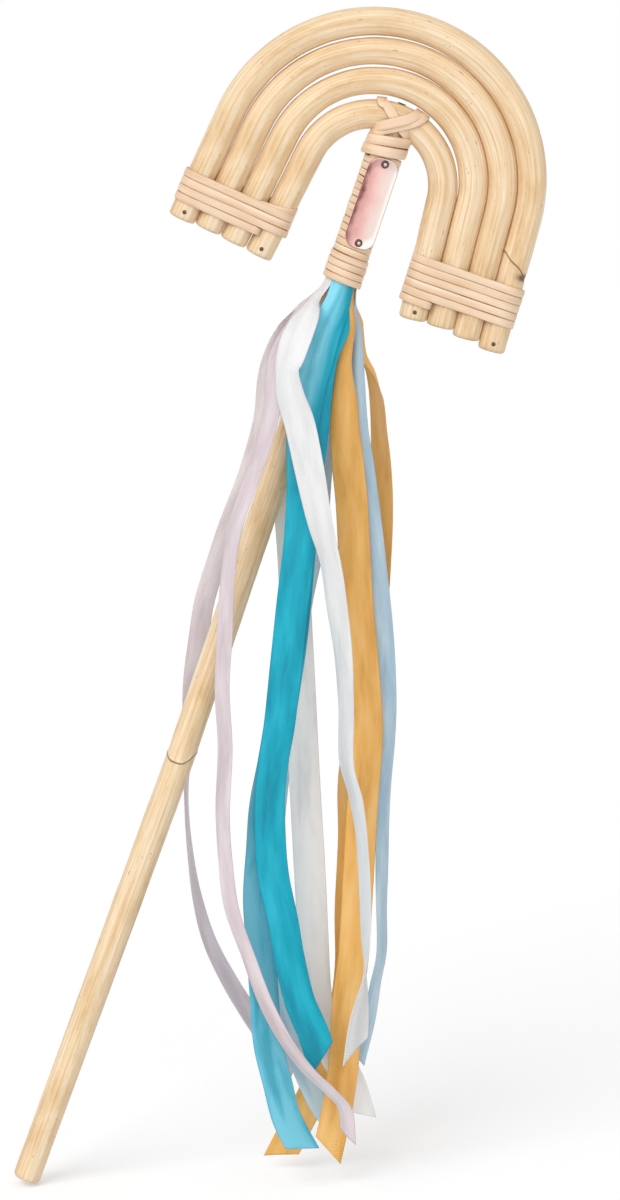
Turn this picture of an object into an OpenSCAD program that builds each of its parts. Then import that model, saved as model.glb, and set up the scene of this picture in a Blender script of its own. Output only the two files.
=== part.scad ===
// Toy magic wand: a rattan stick that carries a rainbow of four bent rattan rods,
// bound with flat cane and hung with five satin ribbons, each folded in half into two tails.
// The origin is on the stick's axis, halfway along the grip. X is to the right, Y is away, Z is up.

/* [Stick] */
// Diameter of the stick
stick_d = 8.8; // [8:0.1:10]
// Length of the grip, from the butt to the growth ring
grip_len = 147; // [120:1:180]
// Lean of the grip from the vertical, in degrees
grip_lean = 20; // [15:0.5:25]
// Lean of the stick above the growth ring, in degrees
neck_lean = 18.6; // [15:0.2:22]
// Length from the growth ring to the middle of the inner arch's rod
neck_len = 208; // [200:1:220]
// Height of the growth ring over the stick
ring_rise = 0.3; // [0.1:0.05:0.5]
// Width of the growth ring along the stick
ring_w = 2.2; // [1.5:0.1:4]
// Bevel at the butt
butt_bevel = 0.6; // [0.3:0.1:1.2]

/* [Rainbow] */
// Diameter of the bent rods
rod_d = 8.2; // [7.6:0.1:8.5]
// Radius of the inner arch, at the middle of its rod
arch_r = 21.5; // [20:0.1:23]
// How much lower the inner arch sits than the others, which leaves room for the crown lashing
inner_sink = 1.2; // [1:0.1:1.8]
// Step from one arch to the next
arch_step = 8.9; // [8.8:0.05:9.6]
// Lean of the rainbow from the vertical, in degrees
head_lean = 20; // [17:0.5:23]
// Splay of the inner arch's legs, in degrees
inner_splay = 6.7; // [6:0.1:7]
// Splay of the outer arch's legs, in degrees
outer_splay = 5; // [4.8:0.1:6]
// Drop of the inner left leg end below the arches' centre
left_drop = 33.2; // [31:0.2:38]
// How much shorter each next left leg is, going outward
left_leg_step = 1; // [0:0.1:1.5]
// Drop of the right leg ends below the arches' centre
right_drop = 35.5; // [34:0.2:40]

/* [Cane] */
// Width of the cane strip
cane_w = 1.75; // [1.5:0.05:1.75]
// Thickness of the cane strip
cane_t = 1.1; // [0.8:0.05:1.2]
// Distance from the inner arch's rod down to the top of the neck wrap
wrap_drop = 11.8; // [11.8:0.1:14]
// Length of the neck wrap
wrap_len = 41.2; // [41:0.1:46]
// Turns of the neck wrap
wrap_turns = 18; // [12:1:18]
// Turns of the left leg binding
left_turns = 4; // [3:1:4]
// Turns of the right leg binding
right_turns = 5; // [4:1:5]
// Rise from one turn of a leg binding to the next
bind_pitch = 2.45; // [2.35:0.05:2.6]
// Drop of the middle of the left binding below the arches' centre
left_bind_drop = 20; // [19:0.2:21]
// Drop of the middle of the right binding below the arches' centre
right_bind_drop = 22; // [21:0.2:23]

/* [Plate and pins] */
// Length of the plate
plate_len = 28.5; // [26:0.5:29.5]
// Width of the plate
plate_w = 9.4; // [8:0.1:11]
// Thickness of the plate
plate_t = 0.6; // [0.4:0.05:1]
// Radius of the plate's corners
plate_corner_r = 3.8; // [2:0.1:3.9]
// Turn of the plate about the stick, to the right, in degrees
plate_turn = 9; // [0:1:15]
// Distance of the plate's middle below the top of the neck wrap
plate_drop = 14.8; // [14.4:0.2:17]
// Distance between the two plate pins
pin_gap = 25; // [20:0.5:25]
// Diameter of the plate pins' shanks
pin_d = 1.1; // [0.9:0.05:1.4]
// Diameter of the plate pins' heads
pin_head_d = 2.5; // [2:0.1:3]
// Height of the plate pins' heads
pin_head_h = 0.8; // [0.5:0.05:1.1]
// Length of the plate pins below the head
pin_len = 6.5; // [5:0.1:7.5]
// Diameter of the crown nail
nail_d = 1.4; // [1.2:0.1:2]
// Diameter of the crown nail's head
nail_head_d = 2.6; // [2.2:0.1:3.2]
// Length of the crown nail
nail_len = 16; // [12:0.5:17]
// Diameter of the brads in the leg ends
brad_d = 0.9; // [0.7:0.05:1.2]
// Diameter of the brads' heads
brad_head_d = 1.8; // [1.5:0.1:2.2]
// Thickness of the brads' heads
brad_head_h = 0.4; // [0.3:0.05:0.6]
// Length of the brads below the head
brad_len = 5; // [4:0.2:6]
// Distance of the brads from the leg ends
brad_inset = 2.6; // [2:0.1:3]

/* [Ribbons] */
// Width of the turquoise, orange and white ribbons
wide_w = 10; // [9:0.1:10.4]
// Width of the pink and pale blue ribbons
narrow_w = 6.4; // [5.5:0.1:6.6]
// Thickness of the ribbons
ribbon_t = 0.4; // [0.3:0.05:0.4]
// How far the folded ribbons reach up under the neck wrap
fold_len = 7; // [4:0.5:7.5]
// How far the folded ribbons show below the neck wrap
fold_show = 2.4; // [2:0.1:2.6]

/* [Hidden] */
$fn = 48;
// Clearance of a nail in its hole
nail_fit = 0.03;
// Clearance between the stick's saddle and the rod that sits in it
saddle_fit = 0.05;
// Clearance under a winding
wind_fit = 0.12;
// Clearance between two layers of folded ribbon
fold_fit = 0.06;
// Overrun of every cut
cut_over = 1;
// Depth of the seat under a brad's head
brad_seat = 0.3;
// Depth of the crown nail's head below the top of the rod
nail_sink = 0.3;
// Height of the crown nail's countersunk head
nail_head_h = 1;
// Clearance between the plate and the wrap under it
plate_fit = 0.06;
// Share of the rod's radius by which the stick stops short of the rod's middle
saddle_share = 0.55;
// How far a straight leg starts back inside its bent crown, and how much thinner it is there
leg_over = 0.6;
leg_ease = 0.03;

// Rings in one turn of the neck wrap
wrap_rings = 14;
// Rings on each round side of a leg binding
bind_rings = 7;
// Rings from one point of a route to the next
route_rings = 2;
// Smooth steps from one point of the lashing to the next
lash_rings = 2;

stick_r = stick_d / 2;
rod_r = rod_d / 2;
arch_count = 4;
last_arch = arch_count - 1;
ring_pos = grip_len / 2 * [sin(grip_lean), 0, cos(grip_lean)];
neck_dir = [sin(neck_lean), 0, cos(neck_lean)];
crown_pos = ring_pos + neck_len * neck_dir;
wrap_top = neck_len - wrap_drop;
wrap_low = wrap_top - wrap_len;
wrap_pitch = (wrap_len - cane_w) / wrap_turns;

// Two layers of folded ribbon lie between the stick and the lower end of the neck wrap.
inner_fold_r = stick_r + fold_fit;
outer_fold_r = inner_fold_r + ribbon_t + fold_fit;
fold_out_r = outer_fold_r + ribbon_t;
wrap_r = stick_r / cos(180 / wrap_rings) + wind_fit;
wrap_low_r = fold_out_r / cos(180 / wrap_rings) + wind_fit;
// Height of the lowest turn that reaches under the plate, above the wrap's lower edge
plate_low = wrap_len - plate_drop - (plate_len + cane_w) / 2;
plate_seat_r = wrap_radius(plate_low) + cane_t + plate_fit;

function arch_radius(i) = arch_r + i * arch_step;
function arch_up(i) = i == 0 ? 0 : inner_sink;
function splay(i) = inner_splay + (outer_splay - inner_splay) * i / last_arch;
function left_leg(i) = left_drop - i * left_leg_step;
// Distance of an arch's leg from the rainbow's middle line, at a drop below the inner arch's centre
function leg_x(i, drop) = arch_radius(i) / cos(splay(i)) + (drop + arch_up(i)) * tan(splay(i));

// Across and outward places of a cane strip's corners: flat inside, bevelled outside
bevel_shares = [0.6, 0.6];
cane_section = [
    [-cane_w / 2, 0],
    [cane_w / 2, 0],
    [cane_w / 2, cane_t * bevel_shares.y],
    [cane_w / 2 * bevel_shares.x, cane_t],
    [-cane_w / 2 * bevel_shares.x, cane_t],
    [-cane_w / 2, cane_t * bevel_shares.y]
];
function ribbon_section(w) = [
    [-w / 2, -ribbon_t / 2],
    [w / 2, -ribbon_t / 2],
    [w / 2, ribbon_t / 2],
    [-w / 2, ribbon_t / 2]
];

// The ribbon tails' routes, from the neck wrap down. Each point is [x, y, z, turn, width share]:
// turn is the way that the ribbon's width points, in degrees from X towards Y.
white_front_route = [
    [68.7, -2.7, 215.5, -90, 0.2], [66.5, -6, 213, -60, 0.3], [64, -11, 208, -25, 0.8], [61, -15.5, 201, -20, 1],
    [59, -17.5, 195, -30, 1], [58, -18.5, 191, -45, 1], [59, -19.5, 184, -30, 1], [62, -20, 175, -20, 1],
    [65, -21, 161, -25, 1], [68, -22.5, 146, -40, 1], [71, -24, 134, -50, 1], [73, -25, 120, -50, 1],
    [75, -25, 105, -58, 1], [76, -25, 89, -63, 1], [76, -25, 72, -63, 1], [79, -25, 60, -63, 1],
    [81, -25, 46, -68, 1], [82, -25, 28, -70, 1], [82, -25, 14, -78, 1], [82, -25, 7, -90, 1],
    [81, -25, -3, -115, 1], [80, -25, -11, -130, 1], [79, -25, -20, -135, 1]
];
pink_front_route = [
    [68.4, 0.1, 215.5, -90, 0.25], [65.5, -0.4, 213, -75, 0.35], [61.5, -3.6, 208, -50, 0.6], [58.5, -9, 202, -30, 0.9],
    [55, -11.5, 195, -30, 1], [53, -12.5, 187, -30, 1], [52, -13.5, 178, -35, 1], [49, -14.5, 166, -40, 1],
    [45, -15.5, 154, -45, 1], [42, -16.2, 142, -45, 1], [40, -17, 127, -48, 1], [39, -17, 111, -42, 1],
    [38, -17, 94, -45, 1], [39, -17, 75, -45, 1], [38, -17, 55, -45, 1], [39, -17, 38, -45, 1],
    [41, -17, 23, -42, 1], [46, -17, 8, -42, 1], [51, -17, -6, -40, 1], [57, -17, -18, -40, 1],
    [64, -17, -28, -40, 1], [71, -17, -35, -40, 1], [76, -17, -41, -45, 1], [77, -17, -50, -45, 1]
];
turquoise_front_route = [
    [75, -6.5, 214, 0, 0.8], [73, -6.8, 210, 0, 0.9], [70, -7.2, 203, 0, 1], [68, -7.8, 196, 0, 1],
    [65, -8.6, 184, 3, 1], [63, -9.8, 172, 5, 1], [63, -11, 154, 5, 1], [62, -12, 137, 5, 1],
    [60, -12.4, 120, 5, 1], [58, -12.4, 101, 5, 1], [56, -12.4, 82, 12, 1], [54, -12.4, 69, 18, 1],
    [53, -12.4, 57, 20, 1], [53, -12.4, 44, 15, 1], [54, -12.4, 32, 15, 1], [57, -12.4, 18, 20, 1],
    [59, -12.4, 6, 20, 1], [62, -12.4, -7, 20, 1], [66, -12.4, -17, 15, 1], [69, -12.4, -26, 10, 1]
];
turquoise_back_route = [
    [75, -5.8, 214, 0, 0.75], [74, -5.9, 209, 0, 0.85], [72, -6.2, 202, 0, 1], [69, -6.6, 195, 0, 1],
    [67, -7, 183, 0, 1], [66, -7.2, 171, 5, 1], [64, -7.4, 155, 5, 1], [62, -7.4, 134, 5, 1],
    [60, -7.4, 110, 10, 1], [57, -7.4, 88, 15, 1], [54, -7.4, 69, 15, 1], [51, -7.4, 54, 20, 1],
    [50, -7.4, 40, 22, 1], [49, -7.4, 24, 25, 1], [50, -7.4, 8, 25, 1], [51, -7.4, -8, 25, 1],
    [52, -7.4, -22, 25, 1], [55, -7.4, -35, 25, 1], [58, -7.4, -47, 25, 1], [63, -7.4, -57, 25, 1]
];
orange_front_route = [
    [78.8, -2.8, 212, 90, 0.2], [78.5, -3, 205, 70, 0.2], [77, -3.1, 197, 40, 0.35], [76, -3.1, 189, 20, 0.55],
    [76, -3.1, 180, 10, 0.8], [76, -3.1, 171, 5, 0.9], [77, -3.1, 159, 0, 1], [78, -3.1, 149, 0, 1],
    [79, -3.1, 131, 0, 1], [80, -3.1, 115, 0, 1], [82, -3.1, 93, 0, 1], [83, -3.1, 76, 5, 1],
    [82, -3.1, 58, 10, 1], [81, -3.1, 41, 12, 1], [80, -3.1, 23, 12, 1], [79, -3.1, 5, 12, 1],
    [77, -3.1, -11, 12, 1], [76, -3.1, -29, 12, 1], [74, -3.1, -44, 12, 1], [71, -3.1, -59, 12, 1]
];
blue_side_route = [
    [79.5, 0.1, 212, 90, 0.25], [80, 0, 203, 35, 0.35], [80, 0, 196, 10, 0.5], [80, 0, 185, 10, 0.7],
    [80, 0, 172, 10, 1], [82, 0, 159, 10, 1], [84, 0, 144, 10, 1], [86, 0, 127, 10, 1],
    [88, 0, 108, 10, 1], [89, 0, 89, 10, 1], [89, 0.3, 75, 20, 1], [88, 0.8, 57, 35, 1],
    [88, 1.6, 38, 50, 1], [88, 1.8, 20, 58, 1], [88, 1.8, 5, 58, 1], [86, 1.8, -6, 55, 1],
    [84, 1.8, -18, 50, 1], [81, 1.8, -31, 50, 1]
];
orange_back_route = [
    [79, 2.7, 212, 90, 0.2], [80.5, 4.5, 206, 80, 0.35], [81, 7, 200, 80, 0.5], [82, 10, 193, 92, 0.7],
    [84, 12.5, 187, 105, 0.85], [85, 14.5, 179, 115, 1], [86, 15.5, 169, 120, 1], [87, 15.5, 158, 130, 1],
    [87, 15, 145, 150, 1], [86, 14.5, 130, 165, 1], [85, 14, 114, 165, 1], [83, 14, 96, 165, 1],
    [82, 14, 77, 170, 1], [79, 14, 58, 170, 1], [79, 14, 38, 175, 1], [78, 14, 15, 175, 1],
    [78, 14, -3, 165, 1], [76, 14, -19, 165, 1], [72, 14, -32, 165, 1], [67, 14, -44, 165, 1],
    [61, 14, -56, 170, 1], [56, 14, -66, 170, 1]
];
white_back_route = [
    [71, 5.2, 215, 0, 0.35], [69.5, 5.6, 207, 0, 0.5], [65, 6, 196, 0, 1], [62, 6.4, 182, 0, 1],
    [60, 6.5, 167, 0, 1], [59, 6.5, 148, 0, 1], [60, 6.5, 131, 5, 1], [61, 6.5, 110, 10, 1],
    [62, 6.5, 91, 10, 1], [63, 6.5, 70, 10, 1], [64, 6.5, 51, 10, 1], [65, 6.5, 32, 5, 1],
    [66, 6.5, 12, 5, 1], [67, 6.5, -7, 12, 1], [69, 6.5, -21, 15, 1], [73, 6.5, -30, 15, 1],
    [78, 6.5, -40, 15, 1], [81, 6.5, -50, 15, 1]
];
blue_back_route = [
    [75, 6, 213.5, 0, 0.4], [74, 7, 204, 5, 0.7], [72, 8.2, 192, 10, 1], [71, 9.2, 179, 15, 1],
    [70, 9.8, 166, 20, 1], [69, 10, 154, 20, 1], [68, 10, 141, 20, 1], [66, 10, 129, 20, 1],
    [63, 10, 114, 20, 1], [61, 10, 99, 20, 1], [58, 10, 81, 20, 1], [56, 10, 62, 20, 1],
    [54, 10, 39, 25, 1], [53, 10, 18, 25, 1], [53, 10, 1, 25, 1], [55, 10, -12, 25, 1],
    [58, 10, -25, 25, 1], [63, 10, -37, 25, 1], [68, 10, -48, 25, 1], [73, 10, -55, 25, 1]
];
pink_back_route = [
    [68.6, 2.5, 215.5, 90, 0.3], [61.5, 6, 208, 50, 0.7], [57, 10, 200, 30, 1], [54, 12, 193, 15, 1],
    [52, 14, 185, 10, 1], [51, 16, 174, 10, 1], [49, 17.5, 165, 10, 1], [45, 19, 152, 10, 1],
    [40, 20, 139, 10, 1], [36, 20, 127, 10, 1], [32, 20, 114, 5, 1], [30, 20, 102, 5, 1],
    [28, 20, 87, 25, 1], [27, 20, 69, 55, 1], [26, 20, 52, 80, 1], [27, 20, 34, 80, 1],
    [29, 20, 19, 70, 1], [33, 20, 4, 52, 1], [39, 20, -9, 40, 1], [46, 20, -21, 30, 1],
    [53, 20, -32, 30, 1], [59, 20, -42, 30, 1]
];

// A strip swept along points, each with its outward direction and its own section.
// Both of its broad sides are split along the same diagonal, so a twist keeps the strip's thickness.
function unit(v) = v / norm(v);
function heading(points, i) = unit(points[min(i + 1, len(points) - 1)] - points[max(i - 1, 0)]);
function ring_points(points, outs, sections, i) =
    let (
        t = heading(points, i),
        n = unit(outs[i] - (outs[i] * t) * t),
        b = cross(t, n)
    )
    [for (s = sections[i]) points[i] + s.x * b + s.y * n];

module strip(points, outs, sections) {
    k = len(sections[0]);
    last = len(points) - 1;
    polyhedron(
        points = [for (i = [0:last]) each ring_points(points, outs, sections, i)],
        faces = concat(
            [for (i = [0:last - 1], j = [0:k - 1])
                let (
                    a = i * k + j,
                    b = i * k + (j + 1) % k
                )
                each j < k / 2 ? [[a, b, a + k], [b, b + k, a + k]] : [[a, b, b + k], [a, b + k, a + k]]],
            [for (j = [1:k - 2]) [0, j + 1, j]],
            [for (j = [1:k - 2]) [last * k, last * k + j, last * k + j + 1]]
        )
    );
}

// A cane strip wound along points, whose two ends run straight on for one strip's width
module cane(points, outs) {
    last = len(points) - 1;
    first_run = points[0] + cane_w * unit(points[0] - points[1]);
    last_run = points[last] + cane_w * unit(points[last] - points[last - 1]);
    all_points = concat([first_run], points, [last_run]);
    all_outs = concat([outs[0]], outs, [outs[last]]);
    strip(all_points, all_outs, [for (p = all_points) cane_section]);
}

// Least gap between one turn and the next, from points that lie a turn apart
function turn_gap(points, rings) =
    min([for (i = [0:len(points) - 1 - rings]) norm(points[i + rings] - points[i])]) - cane_w;

// A smooth value between the second and third of four
function blend4(a, b, c, d, t) =
    0.5 * (2 * b + (c - a) * t + (2 * a - 5 * b + 4 * c - d) * t * t + (3 * b - a - 3 * c + d) * t * t * t);
function smooth(rows, rings) =
    let (last = len(rows) - 1)
    [for (i = [0:last * rings])
        let (
            j = min(floor(i / rings), last - 1),
            t = i / rings - j
        )
        blend4(rows[max(j - 1, 0)], rows[j], rows[j + 1], rows[min(j + 2, last)], t)];

// Frames of the stick's upper length, measured up from the growth ring, and of the rainbow
module at_neck() {
    translate(ring_pos) rotate([0, neck_lean, 0]) children();
}
module at_head() {
    translate(crown_pos) rotate([0, head_lean, 0]) translate([0, 0, -arch_r]) children();
}
module at_plate() {
    at_neck() translate([0, 0, wrap_top - plate_drop]) rotate([0, 0, plate_turn]) children();
}

// One bent rod: a round crown and two straight legs
module arch_crown(i, r) {
    rotate([90, 0, 0]) rotate([0, 0, splay(i)])
        rotate_extrude(angle = 180 - 2 * splay(i), $fn = 96) translate([arch_radius(i), 0]) circle(r = r);
}
module leg(i, drop) {
    run = (drop + arch_up(i) + arch_radius(i) * sin(splay(i))) / cos(splay(i));
    translate([arch_radius(i) * cos(splay(i)), 0, arch_radius(i) * sin(splay(i))])
        rotate([0, 180 - splay(i), 0]) translate([0, 0, -leg_over])
            cylinder(r = rod_r - leg_ease, h = run + leg_over);
}
module arch(i) {
    translate([0, 0, arch_up(i)]) {
        arch_crown(i, rod_r);
        leg(i, right_drop);
        mirror([1, 0, 0]) leg(i, left_leg(i));
    }
}

// Nails stand along Z with their heads up, and their holes are the same shape with the fit added.
module brad(fit) {
    translate([0, 0, -brad_len]) cylinder(d = brad_d + 2 * fit, h = brad_len);
    cylinder(d = brad_head_d + 2 * fit, h = brad_head_h);
}
module at_brads(i) {
    for (side = [0, 1]) {
        drop = (side == 0 ? left_leg(i) : right_drop) - brad_inset;
        mirror([1 - side, 0, 0]) translate([leg_x(i, drop), -rod_r + brad_seat, -drop])
            rotate([90, 0, 0]) children();
    }
}
module crown_nail_shape(fit) {
    top = arch_r + rod_r - nail_sink;
    translate([0, 0, top - nail_len]) cylinder(d = nail_d + 2 * fit, h = nail_len);
    translate([0, 0, top - nail_head_h])
        cylinder(d1 = nail_d + 2 * fit, d2 = nail_head_d + 2 * fit, h = nail_head_h);
}
module at_pins() {
    at_plate() for (side = [-1, 1])
        translate([0, -plate_seat_r - plate_t, side * pin_gap / 2]) rotate([90, 0, 0]) children();
}

module stick() {
    color("burlywood") difference() {
        union() {
            rotate([0, grip_lean, 0]) translate([0, 0, -grip_len / 2]) rotate_extrude() polygon([
                [0, 0],
                [stick_r - butt_bevel, 0],
                [stick_r, butt_bevel],
                [stick_r, grip_len],
                [0, grip_len]
            ]);
            at_neck() cylinder(r = stick_r, h = neck_len - rod_r * saddle_share);
            at_neck() translate([0, 0, -ring_w / 2]) rotate_extrude() polygon([
                [0, 0],
                [stick_r - ring_rise, 0],
                [stick_r + ring_rise, ring_w / 3],
                [stick_r + ring_rise, ring_w * 2 / 3],
                [stick_r - ring_rise, ring_w],
                [0, ring_w]
            ]);
        }
        at_head() arch_crown(0, rod_r + saddle_fit);
        at_head() crown_nail_shape(nail_fit);
        at_pins() translate([0, 0, -pin_len - cut_over]) cylinder(d = pin_d + 2 * nail_fit, h = pin_len + cut_over);
    }
}

module inner_arch() {
    color("burlywood") at_head() difference() {
        arch(0);
        crown_nail_shape(nail_fit);
        translate([0, 0, arch_r + rod_r - nail_sink]) cylinder(d = nail_head_d + 2 * nail_fit, h = cut_over);
        at_brads(0) brad(nail_fit);
    }
}
module third_arch() {
    color("burlywood") at_head() arch(1);
}
module second_arch() {
    color("burlywood") at_head() arch(2);
}
module outer_arch() {
    color("burlywood") at_head() difference() {
        arch(last_arch);
        at_brads(last_arch) brad(nail_fit);
    }
}

// A leg binding winds round four rods side by side: two half circles joined by straights.
module leg_binding(drop, turns) {
    top_drop = drop - turns * bind_pitch / 2 - cane_w;
    half_span = (leg_x(last_arch, top_drop) - leg_x(0, top_drop)) / 2;
    mid_x = (leg_x(last_arch, drop) + leg_x(0, drop)) / 2;
    bind_r = rod_r / cos(90 / (bind_rings - 1)) + wind_fit;
    loop = 2 * (bind_rings + 1);
    spots = [for (i = [0:turns * loop])
        let (
            j = i % loop,
            side = j < bind_rings + 1 ? 1 : -1,
            k = j % (bind_rings + 1),
            a = (side > 0 ? -90 : 90) + 180 * min(k, bind_rings - 1) / (bind_rings - 1),
            u = k < bind_rings ? side * half_span : 0
        )
        [[u + bind_r * cos(a), bind_r * sin(a), (i / loop - turns / 2) * bind_pitch], [cos(a), sin(a), 0]]];
    points = [for (s = spots) s[0]];
    echo(str("Least gap between a leg binding's turns: ", turn_gap(points, loop)));
    translate([mid_x, 0, -drop]) rotate([0, -(splay(0) + splay(last_arch)) / 2, 0])
        cane(points, [for (s = spots) s[1]]);
}
module left_leg_binding() {
    color("peachpuff") at_head() mirror([1, 0, 0]) leg_binding(left_bind_drop, left_turns);
}
module right_leg_binding() {
    color("peachpuff") at_head() leg_binding(right_bind_drop, right_turns);
}

// The neck wrap goes down to the right in front, and swells at its lower end over the folded ribbons.
function wrap_radius(h) =
    let (t = max(0, min(1, (fold_len + cane_w + wrap_pitch - h) / wrap_pitch)))
    wrap_r + (wrap_low_r - wrap_r) * t;
module neck_wrap() {
    turns = [for (i = [0:wrap_turns * wrap_rings])
        let (
            a = -360 * i / wrap_rings,
            h = cane_w / 2 + wrap_pitch * i / wrap_rings
        )
        [wrap_radius(h) * [cos(a), sin(a), 0] + [0, 0, h], [cos(a), sin(a), 0]]];
    points = [for (t = turns) t[0]];
    echo(str("Least gap between the neck wrap's turns: ", turn_gap(points, wrap_rings)));
    color("peachpuff") at_neck() translate([0, 0, wrap_low]) cane(points, [for (t = turns) t[1]]);
}

// The crown lashing crosses the joint twice in front and twice behind, and goes once round the neck between.
// Each row is the place in shares [across, away, up] of the lashing's reach from the rod's middle,
// and the way out from what it lies on.
lash_reach = max(rod_r, stick_r) + wind_fit;
lash_shares = [
    [-1.06, -0.42, -1.92, -1, -0.5, 0], [-0.66, -0.98, -1.42, -0.6, -1, 0], [0.1, -1.4, -0.72, 0, -1, 0],
    [0.86, -1.1, 0.1, 0.1, -1, 0.1], [1.16, -0.56, 0.66, 0.1, -0.7, 0.7], [1.24, 0, 0.81, 0.2, 0, 1],
    [1.16, 0.56, 0.66, 0.1, 0.7, 0.7], [0.86, 1.1, 0.1, 0.1, 1, 0.1], [0.1, 1.4, -0.72, 0, 1, 0],
    [-0.66, 0.98, -1.42, -0.6, 1, 0], [-1.06, 0.42, -2, -1, 0.5, 0], [-1.06, -0.42, -2.38, -1, -0.5, 0],
    [-0.6, -0.98, -2.44, -0.6, -1, 0], [0, -1.14, -2.44, 0, -1, 0], [0.6, -0.98, -2.4, 0.6, -1, 0],
    [1.06, -0.42, -2.3, 1, -0.5, 0], [1.06, 0.42, -1.98, 1, 0.5, 0], [0.66, 0.98, -1.42, 0.6, 1, 0],
    [-0.1, 1.1, -0.72, 0, 1, 0], [-0.86, 1.1, 0.1, -0.1, 1, 0.1], [-1.16, 0.56, 0.66, -0.1, 0.7, 0.7],
    [-1.24, 0, 0.81, -0.2, 0, 1], [-1.16, -0.56, 0.66, -0.1, -0.7, 0.7], [-0.86, -1.1, 0.1, -0.1, -1, 0.1],
    [-0.1, -1.06, -0.72, 0, -1, 0], [0.66, -0.98, -1.42, 0.6, -1, 0], [1.06, -0.42, -1.78, 1, -0.5, 0]
];
module crown_lashing() {
    rows = smooth(lash_shares, lash_rings);
    points = [for (r = rows) lash_reach * [r[0], r[1], r[2]]];
    far = 4 * lash_rings;
    gaps = [for (i = [0:len(points) - 1 - far], j = [i + far:len(points) - 1]) norm(points[i] - points[j])];
    echo(str("Least gap between the crown lashing's strands: ", min(gaps) - cane_t));
    color("peachpuff") translate(crown_pos) rotate([0, head_lean, 0])
        cane(points, [for (r = rows) [r[3], r[4], r[5]]]);
}

module plate_outline() {
    inner_w = plate_w - 2 * plate_corner_r;
    inner_len = plate_len - 2 * plate_corner_r;
    square([plate_w, inner_len], center = true);
    square([inner_w, plate_len], center = true);
    for (x = [-1, 1], y = [-1, 1]) translate([x * inner_w / 2, y * inner_len / 2]) circle(r = plate_corner_r);
}
module plate() {
    color("rosybrown") difference() {
        at_plate() translate([0, -plate_seat_r, 0]) rotate([90, 0, 0]) linear_extrude(plate_t) plate_outline();
        at_pins() translate([0, 0, -plate_t - cut_over])
            cylinder(d = pin_d + 2 * nail_fit, h = plate_t + 2 * cut_over);
    }
}
module plate_pins() {
    dome_r = (pow(pin_head_d / 2, 2) + pow(pin_head_h, 2)) / (2 * pin_head_h);
    color("dimgray") at_pins() {
        translate([0, 0, -pin_len]) cylinder(d = pin_d, h = pin_len);
        intersection() {
            translate([0, 0, pin_head_h - dome_r]) sphere(r = dome_r);
            cylinder(d = pin_head_d, h = pin_head_h + cut_over);
        }
    }
}
module crown_nail() {
    color("dimgray") at_head() crown_nail_shape(0);
}
module leg_brads() {
    color("dimgray") at_head() {
        at_brads(0) brad(0);
        at_brads(last_arch) brad(0);
    }
}

// The folded middle of a ribbon, laid round the stick and held under the neck wrap
module fold(radius, width, facing) {
    span = width / radius * 180 / PI;
    at_neck() translate([0, 0, wrap_low - fold_show]) rotate([0, 0, facing - span / 2])
        rotate_extrude(angle = span) translate([radius, 0]) square([ribbon_t, fold_len + fold_show]);
}
module turquoise_fold() {
    color("deepskyblue") fold(outer_fold_r, wide_w, 270);
}
module orange_fold() {
    color("sandybrown") fold(inner_fold_r, wide_w, -15);
}
module white_fold() {
    color("white") fold(inner_fold_r, wide_w, 195);
}
module pink_fold() {
    color("thistle") fold(outer_fold_r, narrow_w, 160);
}
module blue_fold() {
    color("lightblue") fold(outer_fold_r, narrow_w, 45);
}

// A ribbon tail, swept along its route with its width turned as the route says
module tail(route, width) {
    rows = smooth(route, route_rings);
    points = [for (r = rows) [r[0], r[1], r[2]]];
    outs = [for (r = rows) [sin(r[3]), -cos(r[3]), 0]];
    strip(points, outs, [for (r = rows) ribbon_section(width * r[4])]);
}
module turquoise_front_tail() {
    color("deepskyblue") tail(turquoise_front_route, wide_w);
}
module turquoise_back_tail() {
    color("skyblue") tail(turquoise_back_route, wide_w);
}
module orange_front_tail() {
    color("sandybrown") tail(orange_front_route, wide_w);
}
module orange_back_tail() {
    color("sandybrown") tail(orange_back_route, wide_w);
}
module white_front_tail() {
    color("white") tail(white_front_route, wide_w);
}
module white_back_tail() {
    color("white") tail(white_back_route, wide_w);
}
module pink_front_tail() {
    color("thistle") tail(pink_front_route, narrow_w);
}
module pink_back_tail() {
    color("thistle") tail(pink_back_route, narrow_w);
}
module blue_side_tail() {
    color("lightblue") tail(blue_side_route, narrow_w);
}
module blue_back_tail() {
    color("lightblue") tail(blue_back_route, narrow_w);
}

stick();
outer_arch();
second_arch();
third_arch();
inner_arch();
left_leg_binding();
right_leg_binding();
crown_lashing();
neck_wrap();
plate();
plate_pins();
crown_nail();
leg_brads();
turquoise_fold();
orange_fold();
white_fold();
pink_fold();
blue_fold();
turquoise_front_tail();
turquoise_back_tail();
orange_front_tail();
orange_back_tail();
white_front_tail();
white_back_tail();
pink_front_tail();
pink_back_tail();
blue_side_tail();
blue_back_tail();
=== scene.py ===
"""Toy magic wand: the looks of its rattan rods, cane windings, copper plate and satin ribbons."""

import math

import bpy
import numpy as np
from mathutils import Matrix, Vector, noise


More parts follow.
